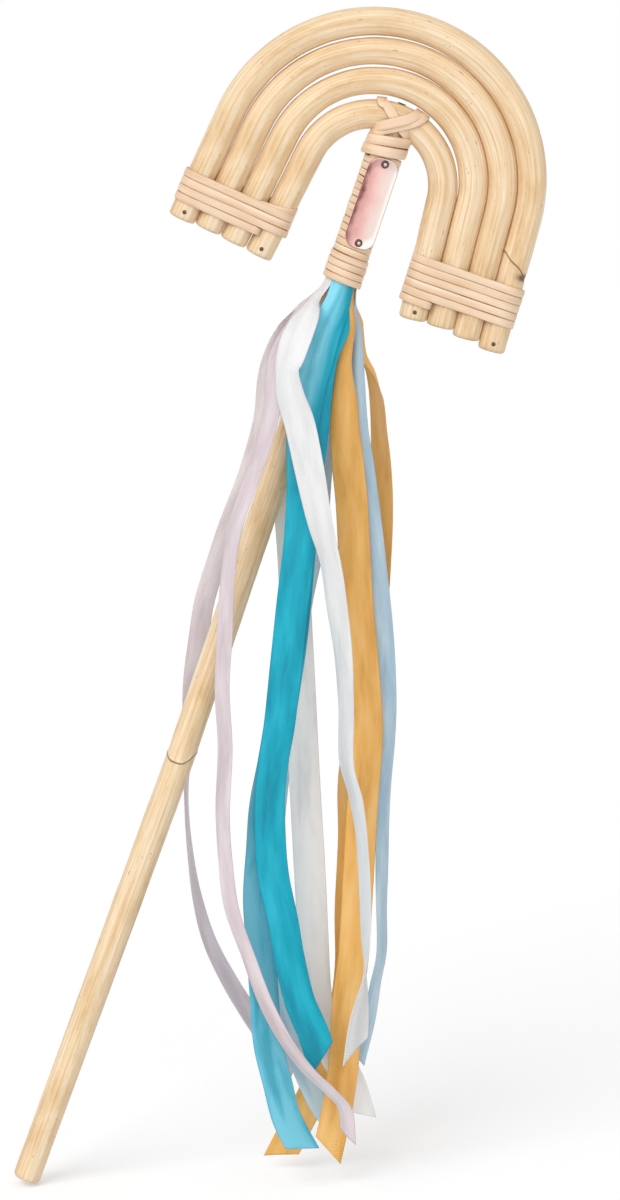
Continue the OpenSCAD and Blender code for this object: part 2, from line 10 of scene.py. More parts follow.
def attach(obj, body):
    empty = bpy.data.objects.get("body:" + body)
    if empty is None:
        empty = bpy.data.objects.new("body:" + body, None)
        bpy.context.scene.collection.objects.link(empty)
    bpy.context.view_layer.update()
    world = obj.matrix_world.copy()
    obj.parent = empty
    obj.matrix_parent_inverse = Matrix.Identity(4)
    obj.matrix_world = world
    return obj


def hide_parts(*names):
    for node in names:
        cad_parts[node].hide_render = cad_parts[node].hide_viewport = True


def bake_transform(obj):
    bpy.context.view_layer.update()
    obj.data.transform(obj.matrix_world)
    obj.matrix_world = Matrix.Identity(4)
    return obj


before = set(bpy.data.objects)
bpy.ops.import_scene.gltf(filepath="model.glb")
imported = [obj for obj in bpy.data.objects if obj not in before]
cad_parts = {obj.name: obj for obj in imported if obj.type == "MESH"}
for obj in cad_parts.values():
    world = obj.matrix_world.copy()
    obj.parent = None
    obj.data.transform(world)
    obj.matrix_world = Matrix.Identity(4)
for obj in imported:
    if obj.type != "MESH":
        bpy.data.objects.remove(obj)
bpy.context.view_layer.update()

# Units and the frame of the stick, as the model has them
MM = 0.001
GRIP_LEN = 147 * MM
GRIP_LEAN = math.radians(20)
NECK_LEAN = math.radians(18.6)
NECK_LEN = 208 * MM
HEAD_LEAN = math.radians(20)
ARCH_R = 21.5 * MM
ARCH_STEP = 8.9 * MM
INNER_SINK = 1.2 * MM
WRAP_DROP = 11.8 * MM
WRAP_LEN = 41.2 * MM
STICK_R = 4.4 * MM
ROD_R = 4.47 * MM
LEG_END_R = 4.29 * MM
LAST_ARCH = 3
Y_AXIS = np.array([0.0, 1.0, 0.0])


def leaning(angle):
    """The right, away and up directions of a frame that leans to the right."""
    c, s = math.cos(angle), math.sin(angle)
    return np.array([[c, 0, -s], [0, 1, 0], [s, 0, c]])


GRIP_AXES = leaning(GRIP_LEAN)
NECK_AXES = leaning(NECK_LEAN)
HEAD_AXES = leaning(HEAD_LEAN)
RING_POS = GRIP_LEN / 2 * GRIP_AXES[2]
CROWN_POS = RING_POS + NECK_LEN * NECK_AXES[2]
WRAP_TOP = NECK_LEN - WRAP_DROP
WRAP_LOW = WRAP_TOP - WRAP_LEN


def at_neck(points):
    """Points measured from the growth ring, up the stick, in the row frame."""
    return RING_POS + np.asarray(points, float) @ NECK_AXES


def at_crown(points):
    """Points measured from the middle of the inner arch's crown, in the row frame."""
    return CROWN_POS + np.asarray(points, float) @ HEAD_AXES


def at_head(points):
    """Points measured from the inner arch's centre, in the row frame."""
    return at_crown(np.asarray(points, float) - [0, 0, ARCH_R])


# Camera, at the photograph's angle
VIEW_TILT = math.radians(10)
VIEW_DISTANCE = 1.2
VIEW_TARGET = Vector((0.0652, 0, 0.11775))
VIEW_LENS = 116.13
VIEW_SENSOR = 36


def put(name, data):
    """A new object in the scene."""
    made = bpy.data.objects.new(name, data)
    bpy.context.scene.collection.objects.link(made)
    return made


def make_camera():
    data = bpy.data.cameras.new("camera")
    data.sensor_fit = "VERTICAL"
    data.sensor_height = VIEW_SENSOR
    data.lens = VIEW_LENS
    camera = put("camera", data)
    camera.location = VIEW_TARGET + VIEW_DISTANCE * Vector((0, -math.cos(VIEW_TILT), math.sin(VIEW_TILT)))
    camera.rotation_euler = (math.pi / 2 - VIEW_TILT, 0, 0)
    bpy.context.scene.camera = camera


make_camera()


# Mesh helpers
TINY = 1e-12
# Steps that keep one seed's noise apart from the next
SEED_STEPS = (7.31, 3.17)


def unit(v):
    return v / np.maximum(np.linalg.norm(v, axis=-1, keepdims=True), TINY)


def ease(t):
    """A smooth step from 0 to 1."""
    t = np.clip(t, 0, 1)
    return t * t * (3 - 2 * t)


def wobble(x, seed):
    """Smooth noise from -1 to 1 along a line."""
    return noise.noise(Vector((x, *(seed * step for step in SEED_STEPS))))


def spline(rows, steps):
    """A smooth line through rows, with the same number of steps from each row to the next."""
    rows = np.asarray(rows, float)
    last = len(rows) - 1
    made = []
    for i in range(last * steps + 1):
        j = min(i // steps, last - 1)
        t = i / steps - j
        a, b, c, d = rows[max(j - 1, 0)], rows[j], rows[j + 1], rows[min(j + 2, last)]
        cubic = (3 * b - a - 3 * c + d) * t**3
        made.append(0.5 * (2 * b + (c - a) * t + (2 * a - 5 * b + 4 * c - d) * t**2 + cubic))
    return np.array(made)


def lengths(points):
    """Distance along a line of points."""
    return np.concatenate([[0], np.cumsum(np.linalg.norm(np.diff(points, axis=0), axis=1))])


def make_object(name, points, faces, **attributes):
    """A smooth mesh object with its point attributes: numbers or vectors."""
    mesh = bpy.data.meshes.new(name)
    mesh.from_pydata([tuple(p) for p in points], [], faces)
    for key, values in attributes.items():
        values = np.asarray(values, np.float32)
        vectors = values.ndim == 2
        layer = mesh.attributes.new(key, "FLOAT_VECTOR" if vectors else "FLOAT", "POINT")
        layer.data.foreach_set("vector" if vectors else "value", values.ravel())
    mesh.polygons.foreach_set("use_smooth", [True] * len(mesh.polygons))
    mesh.validate()
    return put(name, mesh)


def stand_for(piece, node):
    """The piece moves with the wand and stands for a node, which it hides."""
    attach(piece, "wand")
    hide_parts(node)
    return piece


def tube_faces(rings, sides):
    """Faces of a tube of closed rings, with a flat cap at each end."""
    faces = []
    for i in range(rings - 1):
        for j in range(sides):
            k = (j + 1) % sides
            faces.append((i * sides + j, i * sides + k, (i + 1) * sides + k, (i + 1) * sides + j))
    faces.append(tuple(reversed(range(sides))))
    faces.append(tuple(range((rings - 1) * sides, rings * sides)))
    return faces


# Ribbons
WIDE = 10 * MM
NARROW = 6.4 * MM
RIBBON_T = 0.22 * MM
ROUTE_STEPS = 8
# The top of a ribbon: its reach under the wrap, where it comes out, and how it leaves the stick
TUCK = 4 * MM
EDGE_DROP = 0.5 * MM
OUT_SLOPE = 0.25
OPENING = 13 * MM
# Its section: places across it in shares of its half width, limits of its chord's share, and its curl
ACROSS_SHARES = np.array([-1, -0.94, -0.75, -0.5, -0.25, 0, 0.25, 0.5, 0.75, 0.94, 1])
LEAST_CHORD_SHARE = 0.45
MOST_CHORD_SHARE = 0.995
CAMBER = 0.22
LEAST_CURL = 1e-3
CURL_HALVINGS = 40
# Its unevenness: waves of the camber and of the edges, for each metre along it
CAMBER_SWAY = 0.8
CAMBER_WAVES = 28
RUFFLE = 0.35 * MM
RUFFLE_WAVES = 45
RUFFLE_SKEW = 1.2
RUFFLE_SEED = 5
# Length of its slanted end, as a share of the slant
SLANT_SHARE = 3

# Each row of a route: x, y and z in mm, the turn of the width in degrees, and the width's share if not 1
ROUTES = {
    "white_front": [
        [68.7, -2.7, 215.5, -90, 0.2], [66.5, -6, 213, -60, 0.3], [64, -11, 208, -25, 0.8],
        [61, -15.5, 201, -20], [59, -17.5, 195, -30], [58, -18.5, 191, -45], [59, -19.5, 184, -30],
        [62, -20, 175, -20], [65, -21, 161, -25], [68, -22.5, 146, -40], [71, -24, 134, -50],
        [73, -25, 120, -50], [75, -25, 105, -58], [76, -25, 89, -63], [76, -25, 72, -63], [79, -25, 60, -63],
        [81, -25, 46, -68], [82, -25, 28, -70], [82, -25, 14, -78], [82, -25, 7, -90], [81, -25, -3, -115],
        [80, -25, -11, -130], [79, -25, -20, -135],
    ],
    "pink_front": [
        [68.4, 0.1, 215.5, -90, 0.25], [65.5, -0.4, 213, -75, 0.35], [61.5, -3.6, 208, -50, 0.6],
        [58.5, -9, 202, -30, 0.9], [55.4, -11.5, 195, -30], [54.2, -12.5, 187, -30], [53.4, -13.5, 178, -35],
        [50.2, -14.5, 166, -40], [45.8, -15.5, 154, -45], [42, -16.2, 142, -45], [40, -17, 127, -48],
        [39, -17, 111, -42], [38, -17, 94, -45], [39, -17, 75, -45], [38, -17, 55, -45], [39, -17, 38, -45],
        [41, -17, 23, -42], [46, -17, 8, -42], [51, -17, -6, -40], [57, -17, -18, -40], [64, -17, -28, -40],
        [71, -17, -35, -40], [76, -17, -41, -45], [77, -17, -50, -45],
    ],
    "turquoise_front": [
        [75, -6.5, 214, 0, 0.8], [73, -6.8, 210, 0, 0.9], [70, -7.2, 203, 0], [68, -7.8, 196, 0],
        [65, -8.6, 184, 3], [63, -9.8, 172, 5], [63, -11, 154, 5], [62, -12, 137, 5], [60, -12.4, 120, 5],
        [58, -12.4, 101, 5], [56, -12.4, 82, 12], [54, -12.4, 69, 18], [53, -12.4, 57, 20],
        [53, -12.4, 44, 15], [54, -12.4, 32, 15], [57, -12.4, 18, 20], [59, -12.4, 6, 20],
        [62, -12.4, -7, 20], [66, -12.4, -17, 15], [69, -12.4, -26, 10],
    ],
    "turquoise_back": [
        [75, -5.8, 214, 0, 0.75], [74, -5.9, 209, 0, 0.85], [72, -6.2, 202, 0], [69, -6.6, 195, 0],
        [67, -7, 183, 0], [66, -7.2, 171, 5], [64, -7.4, 155, 5], [62, -7.4, 134, 5], [60, -7.4, 110, 10],
        [57, -7.4, 88, 15], [54, -7.4, 69, 15], [51, -7.4, 54, 20], [50, -7.4, 40, 22], [49, -7.4, 24, 25],
        [50, -7.4, 8, 25], [51, -7.4, -8, 25], [52, -7.4, -22, 25], [55, -7.4, -35, 25], [58, -7.4, -47, 25],
        [63, -7.4, -57, 25],
    ],
    "orange_front": [
        [78.8, -2.8, 212, 90, 0.2], [78.5, -3, 205, 70, 0.2], [77, -3.1, 197, 40, 0.35],
        [76, -3.1, 189, 20, 0.55], [76, -3.1, 180, 10, 0.8], [76, -3.1, 171, 5, 0.9], [77, -3.1, 159, 0],
        [78, -3.1, 149, 0], [79, -3.1, 131, 0], [80, -3.1, 115, 0], [82, -3.1, 93, 0], [83, -3.1, 76, 5],
        [82, -3.1, 58, 10], [81, -3.1, 41, 12], [80, -3.1, 23, 12], [79, -3.1, 5, 12], [77, -3.1, -11, 12],
        [76, -3.1, -29, 12], [74, -3.1, -44, 12], [71, -3.1, -59, 12],
    ],
    "orange_back": [
        [79, 2.7, 212, 90, 0.2], [80.5, 4.5, 206, 80, 0.35], [81, 7, 200, 80, 0.5], [82, 10, 193, 92, 0.7],
        [84.8, 12.5, 187, 105, 0.85], [86.2, 14.5, 179, 115], [87, 15.5, 169, 120], [87.6, 15.5, 158, 130],
        [87, 15, 145, 150], [86, 14.5, 130, 165], [85, 14, 114, 165], [83, 14, 96, 165], [82, 14, 77, 170],
        [79, 14, 58, 170], [79, 14, 38, 175], [78, 14, 15, 175], [78, 14, -3, 165], [76, 14, -19, 165],
        [72, 14, -32, 165], [67, 14, -44, 165], [61, 14, -56, 170], [56, 14, -66, 170],
    ],
    "white_back": [
        [71, 5.2, 215, 0, 0.35], [69.5, 5.6, 207, 0, 0.5], [65, 6, 196, 0], [62, 6.4, 182, 0],
        [60, 6.5, 167, 0], [59, 6.5, 148, 0], [60, 6.5, 131, 5], [61, 6.5, 110, 10], [62, 6.5, 91, 10],
        [63, 6.5, 70, 10], [64, 6.5, 51, 10], [65, 6.5, 32, 5], [66, 6.5, 12, 5], [67, 6.5, -7, 12],
        [69, 6.5, -21, 15], [73, 6.5, -30, 15], [78, 6.5, -40, 15], [81, 6.5, -50, 15],
    ],
    "pink_back": [
        [68.6, 2.5, 215.5, 90, 0.3], [61.5, 6, 208, 50, 0.7], [57, 10, 200, 30], [54, 12, 193, 15],
        [52, 14, 185, 10], [51, 16, 174, 10], [49, 17.5, 165, 10], [45, 19, 152, 10], [40, 20, 139, 10],
        [36, 20, 127, 10], [32, 20, 114, 5], [30, 20, 102, 5], [28, 20, 87, 25], [27, 20, 69, 55],
        [26, 20, 52, 80], [27, 20, 34, 80], [29, 20, 19, 70], [33, 20, 4, 52], [39, 20, -9, 40],
        [46, 20, -21, 30], [53, 20, -32, 30], [59, 20, -42, 30],
    ],
    "blue_side": [
        [79.5, 0.1, 212, 90, 0.25], [80, 0.7, 203, 35, 0.35], [80, 1, 196, 10, 0.5], [80, 1, 185, 10, 0.7],
        [80, 0.8, 172, 10], [82, 0.4, 159, 10], [84, 0, 144, 10], [86, 0, 127, 10], [88, 0, 108, 10],
        [89, 0, 89, 10], [89, 0.3, 75, 20], [88, 0.8, 57, 35], [88, 1.6, 38, 50], [88, 1.8, 20, 58],
        [88, 1.8, 5, 58], [86, 1.8, -6, 55], [84, 1.8, -18, 50], [81, 1.8, -31, 50],
    ],
    "blue_back": [
        [75, 6, 213.5, 0, 0.4], [74, 7, 204, 5, 0.7], [72, 8.2, 192, 10], [71, 9.2, 179, 15],
        [70, 9.8, 166, 20], [69, 10, 154, 20], [68, 10, 141, 20], [66, 10, 129, 20], [63, 10, 114, 20],
        [61, 10, 99, 20], [58, 10, 81, 20], [56, 10, 62, 20], [54, 10, 39, 25], [53, 10, 18, 25],
        [53, 10, 1, 25], [55, 10, -12, 25], [58, 10, -25, 25], [63, 10, -37, 25], [68, 10, -48, 25],
        [73, 10, -55, 25],
    ],
}

# Each ribbon tail: its colour and width, the radius of its layer under the wrap, the share of its width to
# which it is gathered there, and the slant of its cut end, both lengths in mm
RIBBONS = {
    "white_front": ("white", WIDE, 4.95, 0.5, 4),
    "pink_front": ("pink", NARROW, 4.7, 0.5, 2),
    "turquoise_front": ("turquoise", WIDE, 5.2, 0.8, -4),
    "turquoise_back": ("turquoise", WIDE, 4.95, 0.6, 3),
    "orange_front": ("orange", WIDE, 4.66, 0.5, 4),
    "orange_back": ("orange", WIDE, 4.92, 0.42, 3),
    "white_back": ("white", WIDE, 4.7, 0.55, 3),
    "pink_back": ("pink", NARROW, 4.95, 0.45, -2),
    "blue_side": ("blue", NARROW, 5.18, 0.4, 2),
    "blue_back": ("blue", NARROW, 5, 0.5, -2),
}
# The tails that also stand for their ribbon's fold under the wrap
FOLD_TAILS = ("turquoise_front", "orange_front", "white_front", "pink_front", "blue_back")


def name_seed(name):
    """A small whole number that follows from a ribbon's name."""
    return len(name) + 3 * sum(map(ord, name)) % 17


def polar_place(point):
    """Height up the stick from the growth ring, and angle about the stick, of a point."""
    local = NECK_AXES @ (np.asarray(point) - RING_POS)
    return local[2], math.atan2(local[1], local[0])


def curl_angle(share):
    """Half the angle of an arc whose chord has that share of its length."""
    low, high = LEAST_CURL, math.pi
    for _ in range(CURL_HALVINGS):
        mid = (low + high) / 2
        low, high = (mid, high) if math.sin(mid) / mid > share else (low, mid)
    return low


def ribbon_rows(route, layer_r):
    """The route from under the wrap down, as centre points, turns and shares, and its angle at the wrap."""
    rows = np.array([[*row, 1][:5] for row in route], float)
    rows[:, :3] *= MM
    _, angle = polar_place(rows[0, :3])
    place = [layer_r * math.cos(angle), layer_r * math.sin(angle)]
    tucked = at_neck([[*place, h] for h in (WRAP_LOW + TUCK, WRAP_LOW - EDGE_DROP)])
    top = [[*p, *rows[0, 3:]] for p in tucked]
    return np.vstack([top, rows[1:]]), angle


def ribbon_grid(name):
    """Middle surface of a ribbon, by ring and place across, its middle line, and distances along it."""
    _, width, layer, gather, slant = RIBBONS[name]
    layer_r, slant = layer * MM, slant * MM
    rows, angle = ribbon_rows(ROUTES[name], layer_r)
    seed = name_seed(name)
    line = spline(rows, ROUTE_STEPS)
    centres = line[:, :3]
    along = lengths(centres)
    tangent = unit(np.gradient(centres, axis=0))
    turn = np.radians(line[:, 3])
    across = np.stack([np.cos(turn), np.sin(turn), np.zeros(len(turn))], axis=1)
    across = unit(across - (across * tangent).sum(1, keepdims=True) * tangent)
    out = np.cross(tangent, across)
    axis_out = unit(np.array([math.cos(angle), math.sin(angle), 0]) @ NECK_AXES)
    side = 1 if out[0] @ axis_out > 0 else -1
    edge = along[ROUTE_STEPS]
    grid = []
    for i, p in enumerate(centres):
        share = min(max(line[i, 4], LEAST_CHORD_SHARE), MOST_CHORD_SHARE)
        fade = ease((along[i] - edge - OPENING) / OPENING)
        # A narrow stretch is partly pleated and partly curled
        pleat = math.sqrt(share)
        camber = CAMBER * (1 + CAMBER_SWAY * wobble(along[i] * CAMBER_WAVES, seed))
        curl = max(curl_angle(share / pleat), camber) * (side * (1 - fade) + fade)
        radius = width * pleat / (2 * curl)
        spread = ACROSS_SHARES * curl
        bow = radius * (np.cos(spread) - math.sin(curl) / curl)
        places = along[i] * RUFFLE_WAVES + ACROSS_SHARES * RUFFLE_SKEW
        bow += RUFFLE * ACROSS_SHARES**2 * [wobble(x, seed + RUFFLE_SEED) for x in places] * fade
        flat = p + np.outer(radius * np.sin(spread), across[i]) + np.outer(bow, out[i])
        # Near the wrap the ribbon lies round the stick
        round_r = layer_r + OUT_SLOPE * max(0, along[i] - edge)
        spots = angle + side * ACROSS_SHARES * gather * width / 2 / round_r
        heights = np.full(len(spots), polar_place(p)[0])
        local = np.stack([round_r * np.cos(spots), round_r * np.sin(spots), heights], axis=1)
        k = ease((along[i] - edge) / OPENING)
        grid.append((1 - k) * at_neck(local) + k * flat)
    reach = SLANT_SHARE * abs(slant)
    tail = ease((along - along[-1] + reach) / reach)
    last = unit(centres[-1] - centres[-2])
    return np.array(grid) + (tail[:, None] * ACROSS_SHARES * slant)[:, :, None] * last, centres, along


def strip_faces(n, m):
    """Faces of a thin closed strip with n by m points above and as many below."""
    back = n * m
    faces = []
    for i in range(n - 1):
        for j in range(m - 1):
            a, b = i * m + j, i * m + j + 1
            faces.append((a, a + m, b + m, b))
            faces.append((back + a, back + b, back + b + m, back + a + m))
        for j, flip in ((0, False), (m - 1, True)):
            a = i * m + j
            quad = (a, back + a, back + a + m, a + m)
            faces.append(quad[::-1] if flip else quad)
    for i, flip in ((0, True), (n - 1, False)):
        for j in range(m - 1):
            a = i * m + j
            quad = (a, back + a, back + a + 1, a + 1)
            faces.append(quad[::-1] if flip else quad)
    return faces


def make_ribbon(name):
    colour, width = RIBBONS[name][:2]
    grid, centres, along = ribbon_grid(name)
    n, m = grid.shape[:2]
    normal = unit(np.cross(np.gradient(grid, axis=0), np.gradient(grid, axis=1)))
    upper, lower = grid + normal * RIBBON_T / 2, grid - normal * RIBBON_T / 2
    points = np.concatenate([upper.reshape(-1, 3), lower.reshape(-1, 3)])
    cloth = np.stack([np.tile(ACROSS_SHARES * width / 2, n), np.repeat(along, m), np.zeros(n * m)], axis=1)
    made = make_object(
        name, points, strip_faces(n, m),
        cloth=np.tile(cloth, (2, 1)), selvedge=np.tile(np.abs(ACROSS_SHARES), 2 * n),
    )
    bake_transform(made)
    replaced = [f"{name}_tail"]
    if name in FOLD_TAILS:
        replaced.append(f"{colour}_fold")
    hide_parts(*replaced)
    return made


ribbons = {name: make_ribbon(name) for name in RIBBONS}


# Rattan rods: swept rings, with the distance along and the place in the section kept for the grain
ROD_SIDES = 36
ROD_PITCH = 1.2 * MM
LEG_TAPER = 36 * MM
# Growth rings: the stretch with finer rings, how many, the line's waves, and half the width of its ridge
MARK_SPAN = 7 * MM
MARK_RINGS = 40
MARK_WAVE = 0.22 * MM
MARK_WAVES = 5
MARK_HALF = 0.8 * MM
# A chip in the skin: half its length, half its turn round the rod, and how far its stain spreads
CHIP_HALF = 1.1 * MM
CHIP_HALF_TURN = 0.6
CHIP_STAIN = 1.6
# Darker towards each cut end: the greyer end grain, and painted shade on the rounded cut edge; its reach and
# its share
END_GRAIN_AND_SHADE = 0.5 * MM
END_GRAIN_AND_SHADE_SHARE = 0.3
# Rounded cut ends: distance from the end, in mm, and share of the radius
END_STEPS = ((0, 0.04), (0, 0.45), (0.03, 0.76), (0.22, 0.9), (0.6, 0.97), (1.1, 1.0))
# Unevenness: swellings as shares of the radius and waves a metre, a turning oval, and small lumps
SWELLS = ((0.012, 60), (0.006, 260))
SWELL_SEED = 2
OVAL_SHARE = 0.01
OVAL_START = 2.6
OVAL_WAVES = 30
LUMP = 0.05 * MM
LUMP_ROUND = 2.2
LUMP_WAVES = 220
LUMP_SEED = 11


def rod_stations(total, mark):
    """Places of a rod's rings along it, each with its share of the radius."""
    inner = END_STEPS[-1][0] * MM
    places = list(np.arange(ROD_PITCH, total - ROD_PITCH, ROD_PITCH))
    if mark:
        places += list(mark[0] + MARK_SPAN * np.linspace(-1, 1, MARK_RINGS))
    near = [(d * MM, share) for d, share in END_STEPS]
    far = [(total - d * MM, share) for d, share in reversed(END_STEPS)]
    return near + [(p, 1.0) for p in sorted(places) if inner < p < total - inner] + far


def rod_mesh(name, line, radius, end_radius, mark=None, chip=None, waist=None, seed=1, shape=None):
    """A rod along a line in the XZ plane. A mark is the place, tilt, dip and ridge of its growth ring, a
    chip the place, angle and depth of a spot where the skin has broken off, and a waist the place, spread
    and depth of a thinner stretch. Shape, if given, changes a ring's points, from them and its place."""
    reach = lengths(line)
    total = reach[-1]
    stations = rod_stations(total, mark)
    angles = np.linspace(0, 2 * math.pi, ROD_SIDES, endpoint=False)
    ring = np.stack([np.cos(angles), np.sin(angles)], axis=1)
    tangents = unit(np.gradient(line, axis=0))
    points, grain, stain, node = [], [], [], []
    for s, share in stations:
        p = np.array([np.interp(s, reach, line[:, k]) for k in range(3)])
        t = unit(np.array([np.interp(s, reach, tangents[:, k]) for k in range(3)]))
        near_end = min(s, total - s)
        thick = end_radius + (radius - end_radius) * min(near_end / LEG_TAPER, 1)
        if waist:
            place, spread, depth = waist
            thick -= depth * math.exp(-(((s - place) / spread) ** 2))
        swell = 1.0
        for k, (part, waves) in enumerate(SWELLS):
            swell += part * wobble(s * waves, seed + k * SWELL_SEED)
        oval = OVAL_SHARE * math.cos(OVAL_START + s * OVAL_WAVES)
        r = thick * share * (swell + oval * np.cos(2 * angles))
        # Darker towards the cut ends: end grain and painted shade
        dark = np.full(ROD_SIDES, END_GRAIN_AND_SHADE_SHARE * math.exp(-near_end / END_GRAIN_AND_SHADE))
        lag = np.full(ROD_SIDES, MARK_SPAN)
        if mark:
            place, tilt, dip, ridge = mark
            wave = MARK_WAVE * np.cos(MARK_WAVES * angles + seed)
            lag = s - place - tilt * radius * ring[:, 0] + dip * ring[:, 1] ** 2 - wave
            r = r + share * ridge * np.exp(-((lag / MARK_HALF) ** 2))
        if chip:
            place, angle, depth = chip
            hole = np.exp(-(((s - place) / CHIP_HALF) ** 2) - ((angles - angle) / CHIP_HALF_TURN) ** 2)
            r = r - share * depth * hole
            dark = np.maximum(dark, np.clip(CHIP_STAIN * hole, 0, 1))
        deep = s * LUMP_WAVES + seed * LUMP_SEED
        lumps = [noise.noise(Vector((c * LUMP_ROUND, d * LUMP_ROUND, deep))) for c, d in ring]
        flat = (r + share * LUMP * np.array(lumps))[:, None] * ring
        spots = p + flat[:, :1] * np.cross(Y_AXIS, t) + flat[:, 1:] * Y_AXIS
        points.append(shape(spots, s) if shape else spots)
        grain.append(np.column_stack([flat, np.full(ROD_SIDES, s)]))
        stain.append(dark)
        node.append(np.clip(lag, -MARK_SPAN, MARK_SPAN))
    faces = tube_faces(len(stations), ROD_SIDES)
    return make_object(
        name, np.concatenate(points), [f[::-1] for f in faces],
        grain=np.concatenate(grain), stain=np.concatenate(stain), node=np.concatenate(node),
    )


ARCH_NAMES = ("inner_arch", "third_arch", "second_arch", "outer_arch")
INNER_SPLAY = math.radians(6.7)
OUTER_SPLAY = math.radians(5)
CROWN_POINTS = 90
LEG_POINTS = 24
ARCH_SEED = 3
# Drop of each leg end below the inner arch's centre, from the inner arch to the outer one
LEFT_DROPS = (32.1 * MM, 31 * MM, 30 * MM, 29.6 * MM)
RIGHT_DROPS = (34.3 * MM, 33.7 * MM, 34.3 * MM, 35.2 * MM)
# The outer arch's growth ring: distance from its right end, tilt and ridge, and its chipped edge
NODE_RISE = 27.6 * MM
NODE_TILT = -0.72
NODE_RIDGE = 0.12 * MM
CHIP_RISE = 24.2 * MM
CHIP_DEPTH = 0.6 * MM
CHIP_TURN = math.pi + 0.5
# Where each arch is thinner, left of its crown: the turn from the crown, and how much thinner
WAIST_TURNS = (0, 0.7, 0.5, 0.4)
WAIST_DEPTHS = (0, 0.4 * MM, 0.4 * MM, 0.2 * MM)
WAIST_SPREAD = 0.75


def splay(i):
    """How far an arch's legs lean out."""
    return INNER_SPLAY + (OUTER_SPLAY - INNER_SPLAY) * i / LAST_ARCH


def arch_radius(i):
    return ARCH_R + i * ARCH_STEP


def arch_up(i):
    return 0 if i == 0 else INNER_SINK


def leg_x(i, drop):
    """Distance of an arch's leg from the rainbow's middle line, at a drop below the inner arch's centre."""
    return arch_radius(i) / math.cos(splay(i)) + (drop + arch_up(i)) * math.tan(splay(i))


def arch_line(i):
    """The middle line of an arch, from its left leg end to its right one."""
    r, s, up = arch_radius(i), splay(i), arch_up(i)
    angles = np.linspace(math.pi - s, s, CROWN_POINTS)
    crown = np.stack([r * np.cos(angles), np.zeros(len(angles)), r * np.sin(angles) + up], axis=1)
    left_end = [-leg_x(i, LEFT_DROPS[i]), 0, -LEFT_DROPS[i]]
    right_end = [leg_x(i, RIGHT_DROPS[i]), 0, -RIGHT_DROPS[i]]
    left = np.linspace(left_end, crown[0], LEG_POINTS, endpoint=False)
    right = np.linspace(crown[-1], right_end, LEG_POINTS + 1)[1:]
    return at_head(np.concatenate([left, crown, right]))


def make_arch(i):
    line = arch_line(i)
    total = lengths(line)[-1]
    mark, chip = None, None
    if i == LAST_ARCH:
        mark = (total - NODE_RISE, NODE_TILT, 0, NODE_RIDGE)
        chip = (total - CHIP_RISE, CHIP_TURN, CHIP_DEPTH)
    r = arch_radius(i)
    waist = (total / 2 - r * WAIST_TURNS[i], r * WAIST_SPREAD, WAIST_DEPTHS[i])
    made = rod_mesh(f"{ARCH_NAMES[i]}_rod", line, ROD_R, LEG_END_R, mark, chip, waist, seed=ARCH_SEED + i)
    return stand_for(made, ARCH_NAMES[i])


# The stick: points along its grip and neck, gaps at its top, and its ring's rise, tilt, dip and ridge
GRIP_POINTS = 60
NECK_POINTS = 90
TOP_GAP = 0.1 * MM
SADDLE_GAP = 0.05 * MM
RING_RISE = 0.6 * MM
RING_TILT = 0.35
RING_DIP = 3.1 * MM
RING_RIDGE = 0.2 * MM
STICK_SEED = 9


def in_saddle(points, s):
    """A ring of the stick. Near the top it stops at the saddle in which the inner arch lies."""
    if s < GRIP_LEN + NECK_LEN / 2:
        return points
    local = (points - RING_POS) @ NECK_AXES.T
    saddle = NECK_LEN - np.sqrt(np.maximum((ROD_R + SADDLE_GAP) ** 2 - local[:, 1] ** 2, 0))
    local[:, 2] = np.minimum(local[:, 2], saddle)
    return at_neck(local)


def make_stick():
    butt = -GRIP_LEN / 2 * GRIP_AXES[2]
    top = at_neck([0, 0, NECK_LEN - TOP_GAP])
    grip = np.linspace(butt, RING_POS, GRIP_POINTS, endpoint=False)
    line = np.concatenate([grip, np.linspace(RING_POS, top, NECK_POINTS)])
    mark = (GRIP_LEN + RING_RISE, RING_TILT, RING_DIP, RING_RIDGE)
    made = rod_mesh("stick_pole", line, STICK_R, STICK_R, mark, seed=STICK_SEED, shape=in_saddle)
    return stand_for(made, "stick")


arches = [make_arch(i) for i in range(LAST_ARCH + 1)]
stick = make_stick()


# Cane windings: one strip each, flat inside and rounded outside
CANE_T = 0.62 * MM
# Outline of a strip's section: share of the half width, and share of the thickness
CANE_SHARES = np.array([
    (-0.97, 0), (0.97, 0), (1, 0.45), (0.97, 0.78), (0.86, 0.96), (0.3, 1.04), (-0.3, 1.04), (-0.86, 0.96),
    (-0.97, 0.78), (-1, 0.45),
])
# A strip's ends: share of the width, and the length in which it narrows
CANE_END_SHARE = 0.82
CANE_END_LEN = 1.2 * MM
# Unevenness of its thickness and width: share, and waves a metre
CANE_THICKS = (0.1, 180)
CANE_WIDTHS = (0.05, 120)


def uneven(place, size, waves, seed):
    """A small smooth change along a winding."""
    return size * wobble(place * waves, seed)


